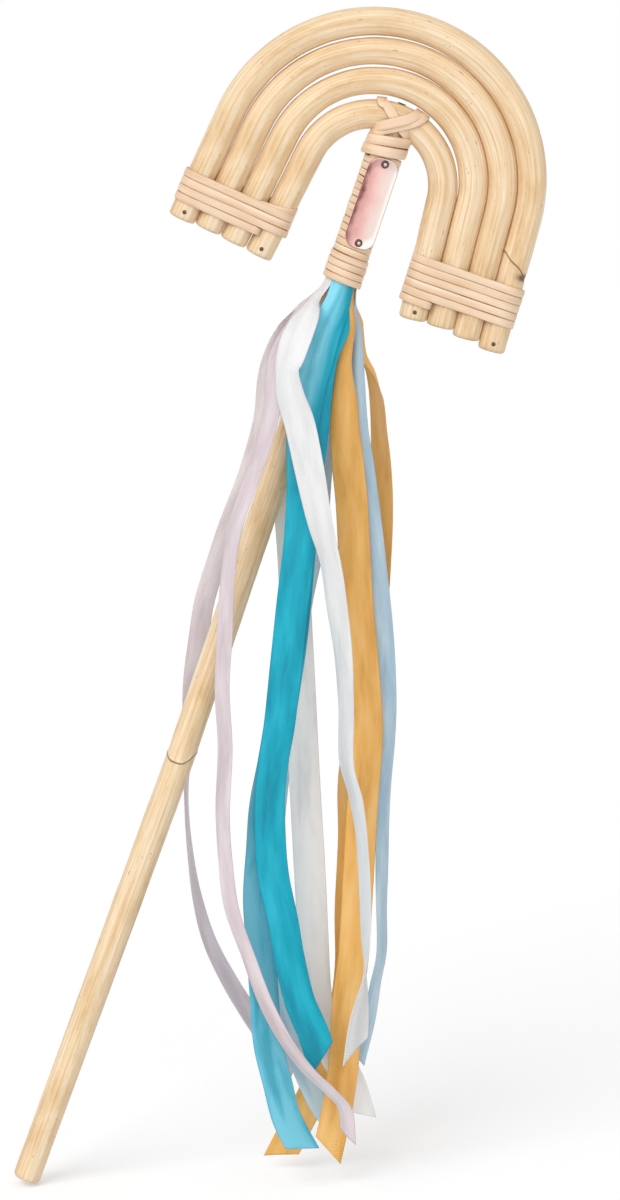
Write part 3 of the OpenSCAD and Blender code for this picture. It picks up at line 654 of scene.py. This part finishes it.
def cane_mesh(name, points, outs, width, seed):
    """A cane strip along points, with the outward way at each. Width may vary along it."""
    points, outs = np.asarray(points, float), np.asarray(outs, float)
    reach = lengths(points)
    tangent = unit(np.gradient(points, axis=0))
    out = unit(outs - (outs * tangent).sum(1, keepdims=True) * tangent)
    across = np.cross(tangent, out)
    sides = len(CANE_SHARES)
    verts, grain = [], []
    for i, p in enumerate(points):
        near_end = min(reach[i], reach[-1] - reach[i])
        half = width[i] / 2 * (CANE_END_SHARE + (1 - CANE_END_SHARE) * ease(near_end / CANE_END_LEN))
        thick = CANE_T * (1 + uneven(reach[i], *CANE_THICKS, seed))
        local = CANE_SHARES * [half * (1 + uneven(reach[i], *CANE_WIDTHS, seed + 1)), thick]
        verts.append(p + np.outer(local[:, 0], across[i]) + np.outer(local[:, 1], out[i]))
        grain.append(np.column_stack([local, np.full(sides, reach[i])]))
    return make_object(
        name, np.concatenate(verts), tube_faces(len(points), sides),
        grain=np.concatenate(grain), edge=np.tile(np.abs(CANE_SHARES[:, 0]), len(points)),
    )


WRAP_TURNS = 18
WRAP_RINGS = 44
WRAP_R = 5.1 * MM
FLARE_R = 5.55 * MM
FLARE_LEN = 7 * MM
WRAP_STRIP = 2.08 * MM
# Rings of level winding at its lower and upper ends
WRAP_LOW_RINGS = 14
WRAP_TOP_RINGS = 18
# Unevenness of its radius, height, lean and width: size, waves a turn, and seed
WRAP_SWELLS = (0.12 * MM, 2.7, 21)
WRAP_SHIFTS = (0.14 * MM, 3.1, 23)
WRAP_LEANS = (0.1, 2.3, 29)
WRAP_WIDTHS = (0.06, 1.9, 31)
WRAP_SEED = 41


def make_neck_wrap():
    """The wrap goes down to the right in front, and swells over the folded ribbons at its lower end."""
    pitch = (WRAP_LEN - WRAP_STRIP) / WRAP_TURNS
    count = WRAP_TURNS * WRAP_RINGS
    points, outs, widths = [], [], []
    for i in range(-WRAP_LOW_RINGS, count + WRAP_TOP_RINGS):
        turn = i / WRAP_RINGS
        c, s = math.cos(-2 * math.pi * turn), math.sin(-2 * math.pi * turn)
        h = WRAP_STRIP / 2 + pitch * min(max(i, 0), count) / WRAP_RINGS
        flare = ease((FLARE_LEN + 2 * pitch - h) / (2 * pitch))
        r = WRAP_R + (FLARE_R - WRAP_R) * flare + uneven(turn, *WRAP_SWELLS)
        points.append([r * c, r * s, WRAP_LOW + h + uneven(turn, *WRAP_SHIFTS)])
        outs.append([c, s, uneven(turn, *WRAP_LEANS)])
        widths.append(WRAP_STRIP * (1 + uneven(turn, *WRAP_WIDTHS)))
    made = cane_mesh("neck_winding", at_neck(points), np.array(outs) @ NECK_AXES, widths, WRAP_SEED)
    return stand_for(made, "neck_wrap")


BIND_STRIP = 2.44 * MM
BIND_R = 4.42 * MM
BIND_TILT = math.radians(2.5)
BIND_PITCH = 2.5 * MM
# Steps of a half circle, of a straight run, and of a whole loop
BIND_ROUND = 12
BIND_RUN = 16
BIND_LOOP = 2 * (BIND_ROUND + BIND_RUN)
# How far the straight runs sag, and how far a tucked end goes down and in
BIND_SAG = 0.1 * MM
TUCK_DROP = 0.85 * BIND_PITCH
TUCK_DEPTH = 0.5 * CANE_T
# Unevenness of its height, radius and width: size and waves a step
BIND_SHIFTS = (0.08 * MM, 0.11)
BIND_DENTS = (0.05 * MM, 0.17)
BIND_WIDTHS = (0.05, 0.07)


def make_leg_binding(name, left, drop, first, last, tuck, seed):
    """A strip wound round four legs side by side, with half circles at the outer and inner legs.
    First and last count its steps. A loop starts in front of the outer leg, or behind it on the right.
    Tuck counts the steps in which its last end goes down under the turn below."""
    outer, inner = leg_x(LAST_ARCH, drop), leg_x(0, drop)
    half_loop = BIND_LOOP // 2
    c, s = math.cos(BIND_TILT), math.sin(BIND_TILT)
    points, outs, widths = [], [], []
    for i in range(first, last):
        side = 1 if i % BIND_LOOP < half_loop else -1
        k = i % half_loop
        a = -side * math.pi / 2 + math.pi * min(k, BIND_ROUND) / BIND_ROUND
        run = max(0, k - BIND_ROUND) / BIND_RUN
        sag = BIND_SAG * math.sin(math.pi * run) + uneven(i, *BIND_DENTS, seed + 3)
        tucked = ease((i - last + 1 + tuck) / tuck) if tuck else 0
        r = BIND_R - sag - TUCK_DEPTH * tucked
        x = side * (outer - inner) / 2 * (1 - 2 * run) + r * math.cos(a)
        z = (i - (first + last) / 2) / BIND_LOOP * BIND_PITCH + uneven(i, *BIND_SHIFTS, seed)
        z -= TUCK_DROP * tucked
        points.append([(outer + inner) / 2 + x * c - z * s, r * math.sin(a), -drop + x * s + z * c])
        outs.append([math.cos(a) * c, math.sin(a), math.cos(a) * s])
        widths.append(BIND_STRIP * (1 + uneven(i - first, *BIND_WIDTHS, seed + 9)))
    flip = [-1, 1, 1] if left else [1, -1, 1]
    made = cane_mesh(
        f"{name}_strip", at_head(np.array(points) * flip), np.array(outs) * flip @ HEAD_AXES, widths, seed,
    )
    return stand_for(made, name)


# The lashing's places in shares of its reach from the middle of the inner arch's crown, and its outward way
LASH_REACH = 4.5 * MM
LASH_SHARES = (
    (-1.28, -0.05, -1.3, -1, -0.1, 0), (-1, -0.84, -0.95, -0.7, -0.7, 0), (-0.4, -1.2, -0.52, -0.2, -1, 0),
    (0.2, -1.24, -0.12, 0, -1, 0.05), (0.72, -1.13, 0.22, 0.1, -1, 0.25), (1.12, -0.8, 0.6, 0.2, -0.75, 0.6),
    (1.36, 0, 0.89, 0.27, 0, 0.96), (1.22, 0.76, 0.58, 0.2, 0.7, 0.6), (0.8, 1.1, 0, 0.1, 1, 0.1),
    (0, 1.2, -0.62, 0, 1, 0), (-0.75, 1, -1.2, -0.6, 0.8, 0), (-1.25, 0.2, -1.62, -1, 0.2, 0),
    (-1.02, -0.8, -1.36, -0.7, -0.7, 0), (-0.4, -1.09, -0.9, -0.2, -1, 0), (0.2, -1.12, -0.5, 0, -1, 0),
    (0.8, -1.07, -0.1, 0.1, -1, 0.1), (1.32, -0.94, 0.26, 0.2, -0.9, 0.4),
    (1.66, -0.52, 0.64, 0.3, -0.5, 0.8), (1.74, 0, 0.8, 0.32, 0, 0.94), (1.64, 0.62, 0.56, 0.3, 0.6, 0.75),
    (1.15, 1.07, -0.12, 0.1, 1, 0.1), (0.25, 1.22, -0.8, 0, 1, 0), (-0.62, 1.1, -1.4, -0.5, 0.9, 0),
    (-1.32, 0.25, -1.88, -1, 0.2, 0), (-1.1, -0.86, -1.82, -0.8, -0.7, 0), (0, -1.34, -1.58, 0, -1, 0),
    (1.12, -0.8, -1.36, 0.8, -0.7, 0), (1.34, 0.2, -1.36, 1, 0.2, 0), (0.66, 1.22, -1.62, 0.5, 0.9, 0),
    (-0.3, 1.36, -2.1, -0.2, 1, 0), (-1.24, 0.62, -2.5, -0.9, 0.5, 0), (-1.38, -0.2, -2.56, -1, -0.1, 0),
    (-0.95, -1.04, -2.48, -0.7, -0.8, 0), (0.05, -1.42, -2.32, 0, -1, 0), (1, -1, -2.16, 0.7, -0.7, 0),
    (1.38, 0, -2.07, 1, 0, 0), (0.95, 1.04, -1.88, 0.7, 0.7, 0), (0.1, 1.4, -1.4, 0, 1, 0),
    (-0.65, 1.3, -0.62, -0.1, 1, 0), (-1.05, 1.05, 0.05, -0.1, 1, 0.15), (-1.28, 0.72, 0.6, -0.2, 0.7, 0.7),
    (-1.38, 0, 0.88, -0.24, 0, 0.97), (-1.26, -0.72, 0.62, -0.2, -0.7, 0.7),
    (-0.92, -0.86, 0.54, -0.1, -0.8, 0.6), (-0.45, -1.03, 0.2, 0, -1, 0.2), (0.08, -1.06, -0.19, 0, -1, 0),
    (0.58, -1.02, -0.55, 0.1, -1, 0), (0.98, -0.82, -0.86, 0.6, -0.8, 0), (1.2, -0.2, -1.1, 1, -0.2, 0),
    (1.08, 0.55, -1.3, 0.9, 0.5, 0),
)
LASH_STRIP = 3.15 * MM
LASH_STEPS = 8
LASH_WIDTHS = (0.05, 0.13, 71)
LASH_SEED = 73


def make_crown_lashing():
    rows = spline(LASH_SHARES, LASH_STEPS)
    widths = [LASH_STRIP * (1 + uneven(i, *LASH_WIDTHS)) for i in range(len(rows))]
    points = at_crown(LASH_REACH * rows[:, :3])
    made = cane_mesh("crown_lashing_strip", points, rows[:, 3:] @ HEAD_AXES, widths, LASH_SEED)
    return stand_for(made, "crown_lashing")


neck_wrap = make_neck_wrap()
left_binding = make_leg_binding(
    "left_leg_binding", left=True, drop=19.4 * MM, first=2 - BIND_RUN, last=4 * BIND_LOOP - BIND_RUN + 5,
    tuck=11, seed=51,
)
right_binding = make_leg_binding(
    "right_leg_binding", left=False, drop=21.4 * MM, first=BIND_LOOP // 2 - 3,
    last=5 * BIND_LOOP + BIND_LOOP // 2 + 9, tuck=0, seed=61,
)
crown_lashing = make_crown_lashing()


# Metal pieces
PLATE_LEN = 28.5 * MM
PLATE_W = 9.4 * MM
PLATE_T = 0.6 * MM
PLATE_CORNER = 3.8 * MM
CORNER_STEPS = 8
PLATE_BEVEL = 0.16 * MM
PLATE_TURN = math.radians(9)
PLATE_DROP = 14.8 * MM
PLATE_SEAT = 5.79 * MM
PIN_GAP = 25 * MM
# Rings of the plate from the middle of its back, round its edge, to the middle of its face, which is dished:
# inset in bevels, share of the outline, and share of the thickness
PLATE_RINGS = (
    (0, 0.03, 0), (0, 0.6, 0), (0.05, 1, 0), (0, 1, 0.12), (0, 1, 0.66), (0.3, 1, 0.86), (1, 1, 1),
    (2.4, 1, 1), (3.4, 1, 0.9), (4, 0.8, 0.88), (4, 0.4, 0.9), (4, 0.03, 0.9),
)
DISH_SHARE = 0.9
# Rings are dented from this share of the thickness on, and count as face from this inset on
DENT_FROM = 0.8
FACE_FROM = 2
DENT = 0.02 * MM
DENT_WAVES = 300
DENT_SEED = 4.7


def at_plate(points):
    """Points across, out of and up the plate, from the middle of its back, in the row frame."""
    across, out, up = np.asarray(points, float).T
    c, s = math.cos(PLATE_TURN), math.sin(PLATE_TURN)
    away = -(PLATE_SEAT + out)
    local = np.stack([across * c - away * s, across * s + away * c, WRAP_TOP - PLATE_DROP + up], axis=1)
    return at_neck(local)


def rounded_outline(width, height, radius):
    """A rectangle with round corners, counter-clockwise."""
    made = []
    for q, (sx, sy) in enumerate(((1, 1), (-1, 1), (-1, -1), (1, -1))):
        for k in range(CORNER_STEPS + 1):
            a = math.pi / 2 * (q + k / CORNER_STEPS)
            made.append([sx * (width / 2 - radius) + radius * math.cos(a),
                         sy * (height / 2 - radius) + radius * math.sin(a)])
    return np.array(made)


def make_plate():
    verts, face = [], []
    for inset, share, out in PLATE_RINGS:
        cut = inset * PLATE_BEVEL
        outline = share * rounded_outline(PLATE_W - 2 * cut, PLATE_LEN - 2 * cut, PLATE_CORNER - cut)
        count = len(outline)
        dent = np.zeros(count)
        if out > DENT_FROM:
            spots = [Vector((x * DENT_WAVES, y * DENT_WAVES, DENT_SEED)) for x, y in outline]
            dent = DENT * np.array([noise.noise(spot) for spot in spots])
        verts.append(at_plate(np.column_stack([outline[:, 0], PLATE_T * out + dent, outline[:, 1]])))
        face.append(np.column_stack([outline, np.full(count, share if inset > FACE_FROM else 0)]))
    faces = [f[::-1] for f in tube_faces(len(PLATE_RINGS), count)]
    made = make_object("copper_plate", np.concatenate(verts), faces, face=np.concatenate(face))
    return stand_for(made, "plate")


# Turned shapes: radius and height of each step, in mm
PIN_STEPS = (
    (0.02, -6.4), (0.35, -5.8), (0.55, -5), (0.55, -0.05), (1.16, 0), (1.22, 0.14), (1.16, 0.36),
    (1, 0.52), (0.82, 0.58), (0.66, 0.52), (0.56, 0.46), (0.4, 0.5), (0.2, 0.56), (0.02, 0.57),
)
BRAD_STEPS = (
    (0.02, -4.6), (0.42, -4), (0.42, -0.2), (0.6, -0.1), (0.64, 0), (0.58, 0.07), (0.44, 0.12), (0.22, 0.15),
    (0.02, 0.16),
)
NAIL_STEPS = (
    (0.02, -15.7), (0.7, -14.6), (0.7, -0.8), (1.25, -0.05), (1.3, 0.06), (1.2, 0.22), (0.5, 0.28),
    (0.02, 0.28),
)
TURN_SIDES = 20
BRAD_INSET = 2.6 * MM
BRAD_PROUD = 0.12 * MM


def turned(steps, place, out, up):
    """Points of rings of a turned shape, which stands along out at a place."""
    out, up = unit(np.asarray(out, float)), unit(np.asarray(up, float))
    side = np.cross(up, out)
    a = np.linspace(0, 2 * math.pi, TURN_SIDES, endpoint=False)
    ring = np.outer(np.cos(a), side) + np.outer(np.sin(a), up)
    return np.concatenate([place + r * MM * ring + h * MM * out for r, h in steps])


def make_turned(name, steps, places, node, up, bright_middle):
    """One object that holds a turned shape at each place, given as (point, outward way)."""
    verts, faces, rims = [], [], []
    head = max(r for r, h in steps)
    for point, out in places:
        start = sum(len(v) for v in verts)
        verts.append(turned(steps, point, out, up))
        faces += [tuple(start + v for v in f) for f in tube_faces(len(steps), TURN_SIDES)]
        rims += [r / head if bright_middle else 1 for r, h in steps for _ in range(TURN_SIDES)]
    made = make_object(name, np.concatenate(verts), faces, rim=rims)
    return stand_for(made, node)


def brad_places():
    places = []
    for i in (0, LAST_ARCH):
        for side, drop in ((-1, LEFT_DROPS[i] - BRAD_INSET), (1, RIGHT_DROPS[i] - BRAD_INSET)):
            spot = at_head([side * leg_x(i, drop), -LEG_END_R - BRAD_PROUD, -drop])
            places.append((spot, -Y_AXIS))
    return places


plate_out = -(np.array([-math.sin(PLATE_TURN), math.cos(PLATE_TURN), 0]) @ NECK_AXES)
pin_spots = at_plate([[0, PLATE_T * DISH_SHARE, side * PIN_GAP / 2] for side in (-1, 1)])
pin_places = [(spot, plate_out) for spot in pin_spots]
nail_spot = at_crown([0, 0, ROD_R])
plate = make_plate()
pins = make_turned("plate_pin_heads", PIN_STEPS, pin_places, "plate_pins", NECK_AXES[2], True)
brads = make_turned("leg_brad_heads", BRAD_STEPS, brad_places(), "leg_brads", HEAD_AXES[2], False)
nail = make_turned("crown_nail_head", NAIL_STEPS, [(nail_spot, HEAD_AXES[2])], "crown_nail", Y_AXIS, False)


# Materials
class Tree:
    """A node tree under construction."""

    def __init__(self, tree):
        self.nodes, self.links = tree.nodes, tree.links

    def wire(self, source, target):
        """Links a socket to a target, or sets the target to a number, vector or colour."""
        if isinstance(source, bpy.types.NodeSocket):
            self.links.new(source, target)
        else:
            target.default_value = (*source, 1) if target.type == "RGBA" else source

    def add(self, kind, output, inputs, **settings):
        """A new node with its settings and inputs. Gives one of its outputs."""
        made = self.nodes.new(f"ShaderNode{kind}")
        for key, value in settings.items():
            setattr(made, key, value)
        for key, source in inputs.items():
            self.wire(source, made.inputs[key])
        return made.outputs[output]

    def attribute(self, name, output="Vector"):
        return self.add("Attribute", output, {}, attribute_name=name)

    def part(self, vector, axis):
        return self.add("SeparateXYZ", axis, {"Vector": vector})

    def scaled(self, vector, scale):
        return self.add("Mapping", "Vector", {"Vector": vector, "Scale": scale})

    def noise(self, vector, scale, detail, rough):
        inputs = {"Vector": self.scaled(vector, scale), "Scale": 1.0, "Detail": detail, "Roughness": rough}
        return self.add("TexNoise", "Fac", inputs)

    def wave(self, vector, scale, direction, distortion):
        inputs = {"Vector": vector, "Scale": scale, "Distortion": distortion}
        return self.add("TexWave", "Fac", inputs, bands_direction=direction)

    def ramp(self, value, stops):
        made = self.nodes.new("ShaderNodeValToRGB")
        elements = made.color_ramp.elements
        while len(elements) < len(stops):
            elements.new(0.5)
        for element, (place, colour) in zip(elements, stops):
            element.position = place
            element.color = (*colour, 1)
        self.wire(value, made.inputs["Fac"])
        return made.outputs["Color"]

    def levels(self, value, low, high, least=0.0, most=1.0):
        """Maps a value from low and high to least and most."""
        inputs = {"Value": value, "From Min": low, "From Max": high, "To Min": least, "To Max": most}
        return self.add("MapRange", "Result", inputs)

    def mix(self, factor, a, b, how="MIX"):
        return self.add("Mix", 2, {0: factor, 6: a, 7: b}, data_type="RGBA", blend_type=how)

    def sums(self, a, b, how="ADD"):
        return self.add("Math", 0, {0: a, 1: b}, operation=how)


class Shader(Tree):
    """A node material under construction."""

    def __init__(self, name):
        self.material = bpy.data.materials.new(name)
        self.material.use_nodes = True
        super().__init__(self.material.node_tree)
        self.bsdf = self.nodes["Principled BSDF"]

    def set(self, **values):
        for key, value in values.items():
            self.wire(value, self.bsdf.inputs[key.replace("_", " ")])

    def bump(self, height, distance, strength):
        inputs = {"Height": height, "Distance": distance, "Strength": strength}
        self.set(Normal=self.add("Bump", "Normal", inputs))


# Grain: waves a metre, two ways across a piece and along it
RATTAN_FIBRES = (1300, 1300, 26)
RATTAN_PORES = (3600, 3600, 90)
RATTAN_BLOTCHES = (150, 150, 44)
RATTAN_PITS = (900, 900, 420)
RATTAN_DARK = (0.7, 0.49, 0.26)
RATTAN_PIT = (0.5, 0.3, 0.13)
RATTAN_STAIN_AND_SHADE = (0.16, 0.08, 0.035)
RATTAN_TONES = ((0.28, RATTAN_DARK), (0.5, (0.86, 0.67, 0.44)), (0.68, (0.92, 0.8, 0.62)))
RATTAN_SHADES = ((0.3, (0.84, 0.7, 0.52)), (0.5, (1, 0.96, 0.91)), (0.68, (1.04, 1.05, 1.08)))
RATTAN_RELIEF = 0.06 * MM
PORE_RELIEF_SHARE = 0.4
# Half widths of a growth ring's line and of its dark core
NODE_LINE = 0.42 * MM
NODE_CORE = 0.16 * MM


def rattan_material():
    """Pale unsplit rattan: long fibres, fine dark pores, soft blotches, dark growth rings, a dark chip, and
    darker cut ends with their greyer end grain and painted shade.
    """
    s = Shader("rattan")
    grain = s.attribute("grain")
    fibres = s.noise(grain, RATTAN_FIBRES, 4, 0.6)
    pores = s.noise(grain, RATTAN_PORES, 2, 0.5)
    blotches = s.noise(grain, RATTAN_BLOTCHES, 4, 0.6)
    pits = s.noise(grain, RATTAN_PITS, 2, 0.5)
    colour = s.mix(1.0, s.ramp(fibres, RATTAN_TONES), s.ramp(blotches, RATTAN_SHADES), "MULTIPLY")
    colour = s.mix(s.levels(pores, 0.6, 0.72, most=0.5), colour, RATTAN_DARK)
    colour = s.mix(s.levels(pits, 0.68, 0.75, most=0.6), colour, RATTAN_PIT)
    # The chip's stain, and the cut ends darkened for end grain and painted shade
    colour = s.mix(s.attribute("stain", "Fac"), colour, RATTAN_STAIN_AND_SHADE)
    lag = s.sums(s.attribute("node", "Fac"), 0.0, "ABSOLUTE")
    colour = s.mix(s.levels(lag, NODE_LINE, NODE_CORE, most=0.85), colour, RATTAN_STAIN_AND_SHADE)
    s.set(Base_Color=colour, Roughness=s.levels(fibres, 0.2, 0.8, 0.4, 0.6))
    s.set(Specular_IOR_Level=0.4, Coat_Weight=0.12, Coat_Roughness=0.3)
    s.bump(s.sums(fibres, s.sums(pores, PORE_RELIEF_SHARE, "MULTIPLY")), RATTAN_RELIEF, 0.6)
    return s.material


CANE_FIBRES = (2600, 2600, 40)
CANE_BLOTCHES = (300, 300, 60)
CANE_TONES = ((0.25, (0.84, 0.59, 0.38)), (0.55, (0.88, 0.67, 0.48)), (0.75, (0.92, 0.75, 0.58)))
CANE_SHADES = ((0.3, (0.88, 0.8, 0.72)), (0.6, (1, 1, 1)))
CANE_EDGE = (0.5, 0.27, 0.12)
CANE_RELIEF = 0.05 * MM


def cane_material():
    """Flat cane strip: glossy skin with fibres along it and darker edges."""
    s = Shader("cane")
    grain = s.attribute("grain")
    fibres = s.noise(grain, CANE_FIBRES, 4, 0.6)
    blotches = s.noise(grain, CANE_BLOTCHES, 2, 0.5)
    colour = s.mix(1.0, s.ramp(fibres, CANE_TONES), s.ramp(blotches, CANE_SHADES), "MULTIPLY")
    colour = s.mix(s.levels(s.attribute("edge", "Fac"), 0.86, 1.0, most=0.75), colour, CANE_EDGE)
    s.set(Base_Color=colour, Roughness=s.levels(fibres, 0.2, 0.8, 0.34, 0.52))
    s.set(Specular_IOR_Level=0.45, Coat_Weight=0.15, Coat_Roughness=0.25)
    s.bump(fibres, CANE_RELIEF, 0.6)
    return s.material


COPPER_BRUSHING = (5200, 420, 1)
COPPER_CLOUDS = (260, 180, 1)
COPPER_DRIFT = 0.13
COPPER_REFLECTION_TONES = (
    (0.0, (0.22, 0.085, 0.085)), (0.14, (0.56, 0.29, 0.27)), (0.5, (0.7, 0.45, 0.41)),
    (0.8, (0.68, 0.57, 0.53)),
)
COPPER_RELIEF = 0.02 * MM


def copper_material():
    """Brushed rose copper with a painted reflection across it: deep rose along its left edge and painted
    pale along its right.
    """
    s = Shader("rose_copper")
    face = s.attribute("face")
    brushed = s.noise(face, COPPER_BRUSHING, 3, 0.6)
    clouds = s.noise(face, COPPER_CLOUDS, 3, 0.5)
    place = s.levels(s.part(face, "X"), -PLATE_W / 2, PLATE_W / 2)
    drift = s.levels(clouds, 0.25, 0.75, -COPPER_DRIFT, COPPER_DRIFT)
    # Painted reflection: the colour runs from deep rose at the left edge to pale at the right
    s.set(Base_Color=s.ramp(s.sums(place, drift), COPPER_REFLECTION_TONES), Metallic=1.0)
    s.set(Roughness=s.levels(brushed, 0.2, 0.8, 0.24, 0.44))
    s.bump(brushed, COPPER_RELIEF, 0.5)
    return s.material


STEEL_SPOTS = (1800, 1800, 1800)
STEEL_TONES = ((0.3, (0.05, 0.035, 0.03)), (0.6, (0.13, 0.095, 0.08)), (0.8, (0.26, 0.21, 0.18)))
STEEL_MIDDLE = (0.74, 0.66, 0.62)
STEEL_RELIEF = 0.03 * MM


def steel_material():
    """Dull steel with tarnish, dark round the rim of each head and brighter in its middle."""
    s = Shader("steel")
    spots = s.noise(s.add("TexCoord", "Object", {}), STEEL_SPOTS, 3, 0.6)
    # Brighter in the middle of each head and dark round its rim
    bright_middle = s.levels(s.attribute("rim", "Fac"), 0.5, 0.25, most=0.8)
    s.set(Base_Color=s.mix(bright_middle, s.ramp(spots, STEEL_TONES), STEEL_MIDDLE), Metallic=1.0)
    s.set(Roughness=s.levels(spots, 0.2, 0.8, 0.3, 0.55))
    s.bump(spots, STEEL_RELIEF, 0.5)
    return s.material


# Satin colours: painted shade, main and painted sheen
SATINS = {
    "turquoise": ((0.001, 0.26, 0.38), (0.002, 0.39, 0.53), (0.02, 0.5, 0.65)),
    "orange": ((0.7, 0.33, 0.062), (0.86, 0.46, 0.12), (0.92, 0.57, 0.21)),
    "white": ((0.72, 0.72, 0.73), (0.84, 0.84, 0.845), (0.9, 0.9, 0.9)),
    "pink": ((0.6, 0.5, 0.53), (0.72, 0.615, 0.645), (0.82, 0.735, 0.76)),
    "blue": ((0.33, 0.5, 0.63), (0.45, 0.61, 0.73), (0.59, 0.74, 0.83)),
}
# Painted light: stretches of some ribbons painted paler for the light on them, and a painted glint at the
# top of turquoise_front; where each starts and is full along it and across it, in mm, and its tone
PAINTED_LIGHT = {
    "turquoise_back": (110, 165, -9, -8, (0.2, 0.6, 0.75)),
    "turquoise_front": (68, 30, 3.4, 0.6, (0.25, 0.71, 0.88)),
    "pink_back": (130, 60, 9, 6, (0.96, 0.87, 0.88)),
    "orange_back": (120, 60, 9, 6, (0.97, 0.54, 0.16)),
    "blue_back": (-2, -1, 9, 6, (0.6, 0.8, 0.92)),
    "white_back": (-2, -1, 9, 6, (0.96, 0.96, 0.955)),
}
# The twill: its pitch, how far a wave pattern turns for a scale of 1, its scale and its slant
TWILL_PITCH = 0.34 * MM
PATTERN_TURN = 20
WEAVE = 2 * math.pi / TWILL_PITCH / PATTERN_TURN
TWILL_SLANT = (0.7, 1, 1)
# Threads, and folds for the painted fold shade and sheen: waves a metre across and along a ribbon
SATIN_THREADS = (2400, 160, 1)
SATIN_FOLD_SHADE = (190, 34, 1)
SATIN_RELIEF = 0.04 * MM


def satin_material(name):
    """Satin ribbon: twill lines across, soft streaks of painted fold shade and sheen along, a dotted edge,
    and for some a stretch of painted light.
    """
    shade, main, light = SATINS[RIBBONS[name][0]]
    s = Shader(f"{name}_satin")
    cloth = s.attribute("cloth")
    twill = s.wave(s.scaled(cloth, TWILL_SLANT), WEAVE, "DIAGONAL", 0.6)
    dots = s.wave(cloth, WEAVE / 2, "Y", 0.3)
    threads = s.noise(cloth, SATIN_THREADS, 3, 0.6)
    fold_shade_and_sheen = s.noise(cloth, SATIN_FOLD_SHADE, 3, 0.5)
    # Painted fold shade and sheen: the fold noise picks a tone from painted shade through main to painted
    # sheen, and the threads are painted toward the sheen tone
    tone = s.ramp(fold_shade_and_sheen, ((0.32, shade), (0.5, main), (0.68, light)))
    colour = s.mix(1.0, tone, s.levels(twill, 0, 1, 0.86, 1.06), "MULTIPLY")
    colour = s.mix(s.levels(threads, 0.35, 0.75, most=0.3), colour, light)
    # Painted light: the stretch painted paler, in patches of the fold noise
    if name in PAINTED_LIGHT:
        *places, pale = PAINTED_LIGHT[name]
        none, full, bare, covered = (place * MM for place in places)
        along = s.levels(s.part(cloth, "Y"), none, full)
        across = s.levels(s.part(cloth, "X"), bare, covered)
        light_patch = s.levels(fold_shade_and_sheen, 0.36, 0.56, 0.35, 0.95)
        colour = s.mix(s.sums(s.sums(along, across, "MULTIPLY"), light_patch, "MULTIPLY"), colour, pale)
    rim = s.levels(s.attribute("selvedge", "Fac"), 0.93, 0.99)
    colour = s.mix(s.sums(rim, s.levels(dots, 0.3, 0.8, 0.15, 0.65), "MULTIPLY"), colour, shade)
    s.set(Base_Color=colour, Roughness=s.levels(twill, 0, 1, 0.34, 0.52))
    s.set(Specular_IOR_Level=0.26, Sheen_Weight=0.05, Sheen_Roughness=0.4)
    s.bump(s.sums(twill, threads), SATIN_RELIEF, 0.5)
    return s.material


def dress(material, *pieces):
    for piece in pieces:
        piece.data.materials.clear()
        piece.data.materials.append(material)


dress(rattan_material(), *arches, stick)
dress(cane_material(), neck_wrap, left_binding, right_binding, crown_lashing)
dress(copper_material(), plate)
dress(steel_material(), pins, brads, nail)
for name, ribbon in ribbons.items():
    dress(satin_material(name), ribbon)


# Floor, light and background
FLOOR_Z = -0.0712
FLOOR_SIZE = 6.0
FLOOR_COLOUR = (0.9, 0.9, 0.905)
FLOOR_GLOW = 0.26
KEY_WAY = Vector((0.42, 0.62, -0.66))
KEY_STRENGTH = 1.2
FILL_WAY = Vector((-0.12, 0.97, -0.2))
FILL_STRENGTH = 0.6
LAMP_ANGLE = math.radians(40)
SKY_STRENGTH = 0.55
WHITE = (1, 1, 1)


def by_ray(s, falling, seen):
    """One level for the light that falls on the object, and one for camera, glossy and transmission rays."""
    camera, glossy, through = (
        s.add("LightPath", f"Is {kind} Ray", {}) for kind in ("Camera", "Glossy", "Transmission")
    )
    any_ray = s.sums(s.sums(camera, glossy, "MAXIMUM"), through, "MAXIMUM")
    return s.levels(any_ray, 0, 1, falling, seen)


def make_world():
    world = bpy.data.worlds.new("world")
    world.use_nodes = True
    bpy.context.scene.world = world
    s = Tree(world.node_tree)
    background = s.nodes["Background"]
    s.wire(WHITE, background.inputs["Color"])
    s.wire(by_ray(s, SKY_STRENGTH, 1.0), background.inputs["Strength"])


def make_lamp(name, way, strength):
    data = bpy.data.lights.new(name, "SUN")
    data.energy = strength
    data.angle = LAMP_ANGLE
    put(name, data).rotation_euler = way.to_track_quat("-Z", "Y").to_euler()


def make_floor():
    """A pale floor that looks white where it is lit, and keeps the object's soft shadow."""
    half = FLOOR_SIZE / 2
    corners = [(x * half, y * half, FLOOR_Z) for x, y in ((-1, -1), (1, -1), (1, 1), (-1, 1))]
    floor = make_object("floor", corners, [(0, 1, 2, 3)])
    s = Shader("floor")
    s.set(Base_Color=FLOOR_COLOUR, Roughness=1.0, Specular_IOR_Level=0.0)
    s.set(Emission_Color=WHITE, Emission_Strength=by_ray(s, 0.0, FLOOR_GLOW))
    dress(s.material, floor)


make_world()
make_lamp("key", KEY_WAY, KEY_STRENGTH)
make_lamp("fill", FILL_WAY, FILL_STRENGTH)
make_floor()
bpy.context.scene.view_settings.view_transform = "Standard"
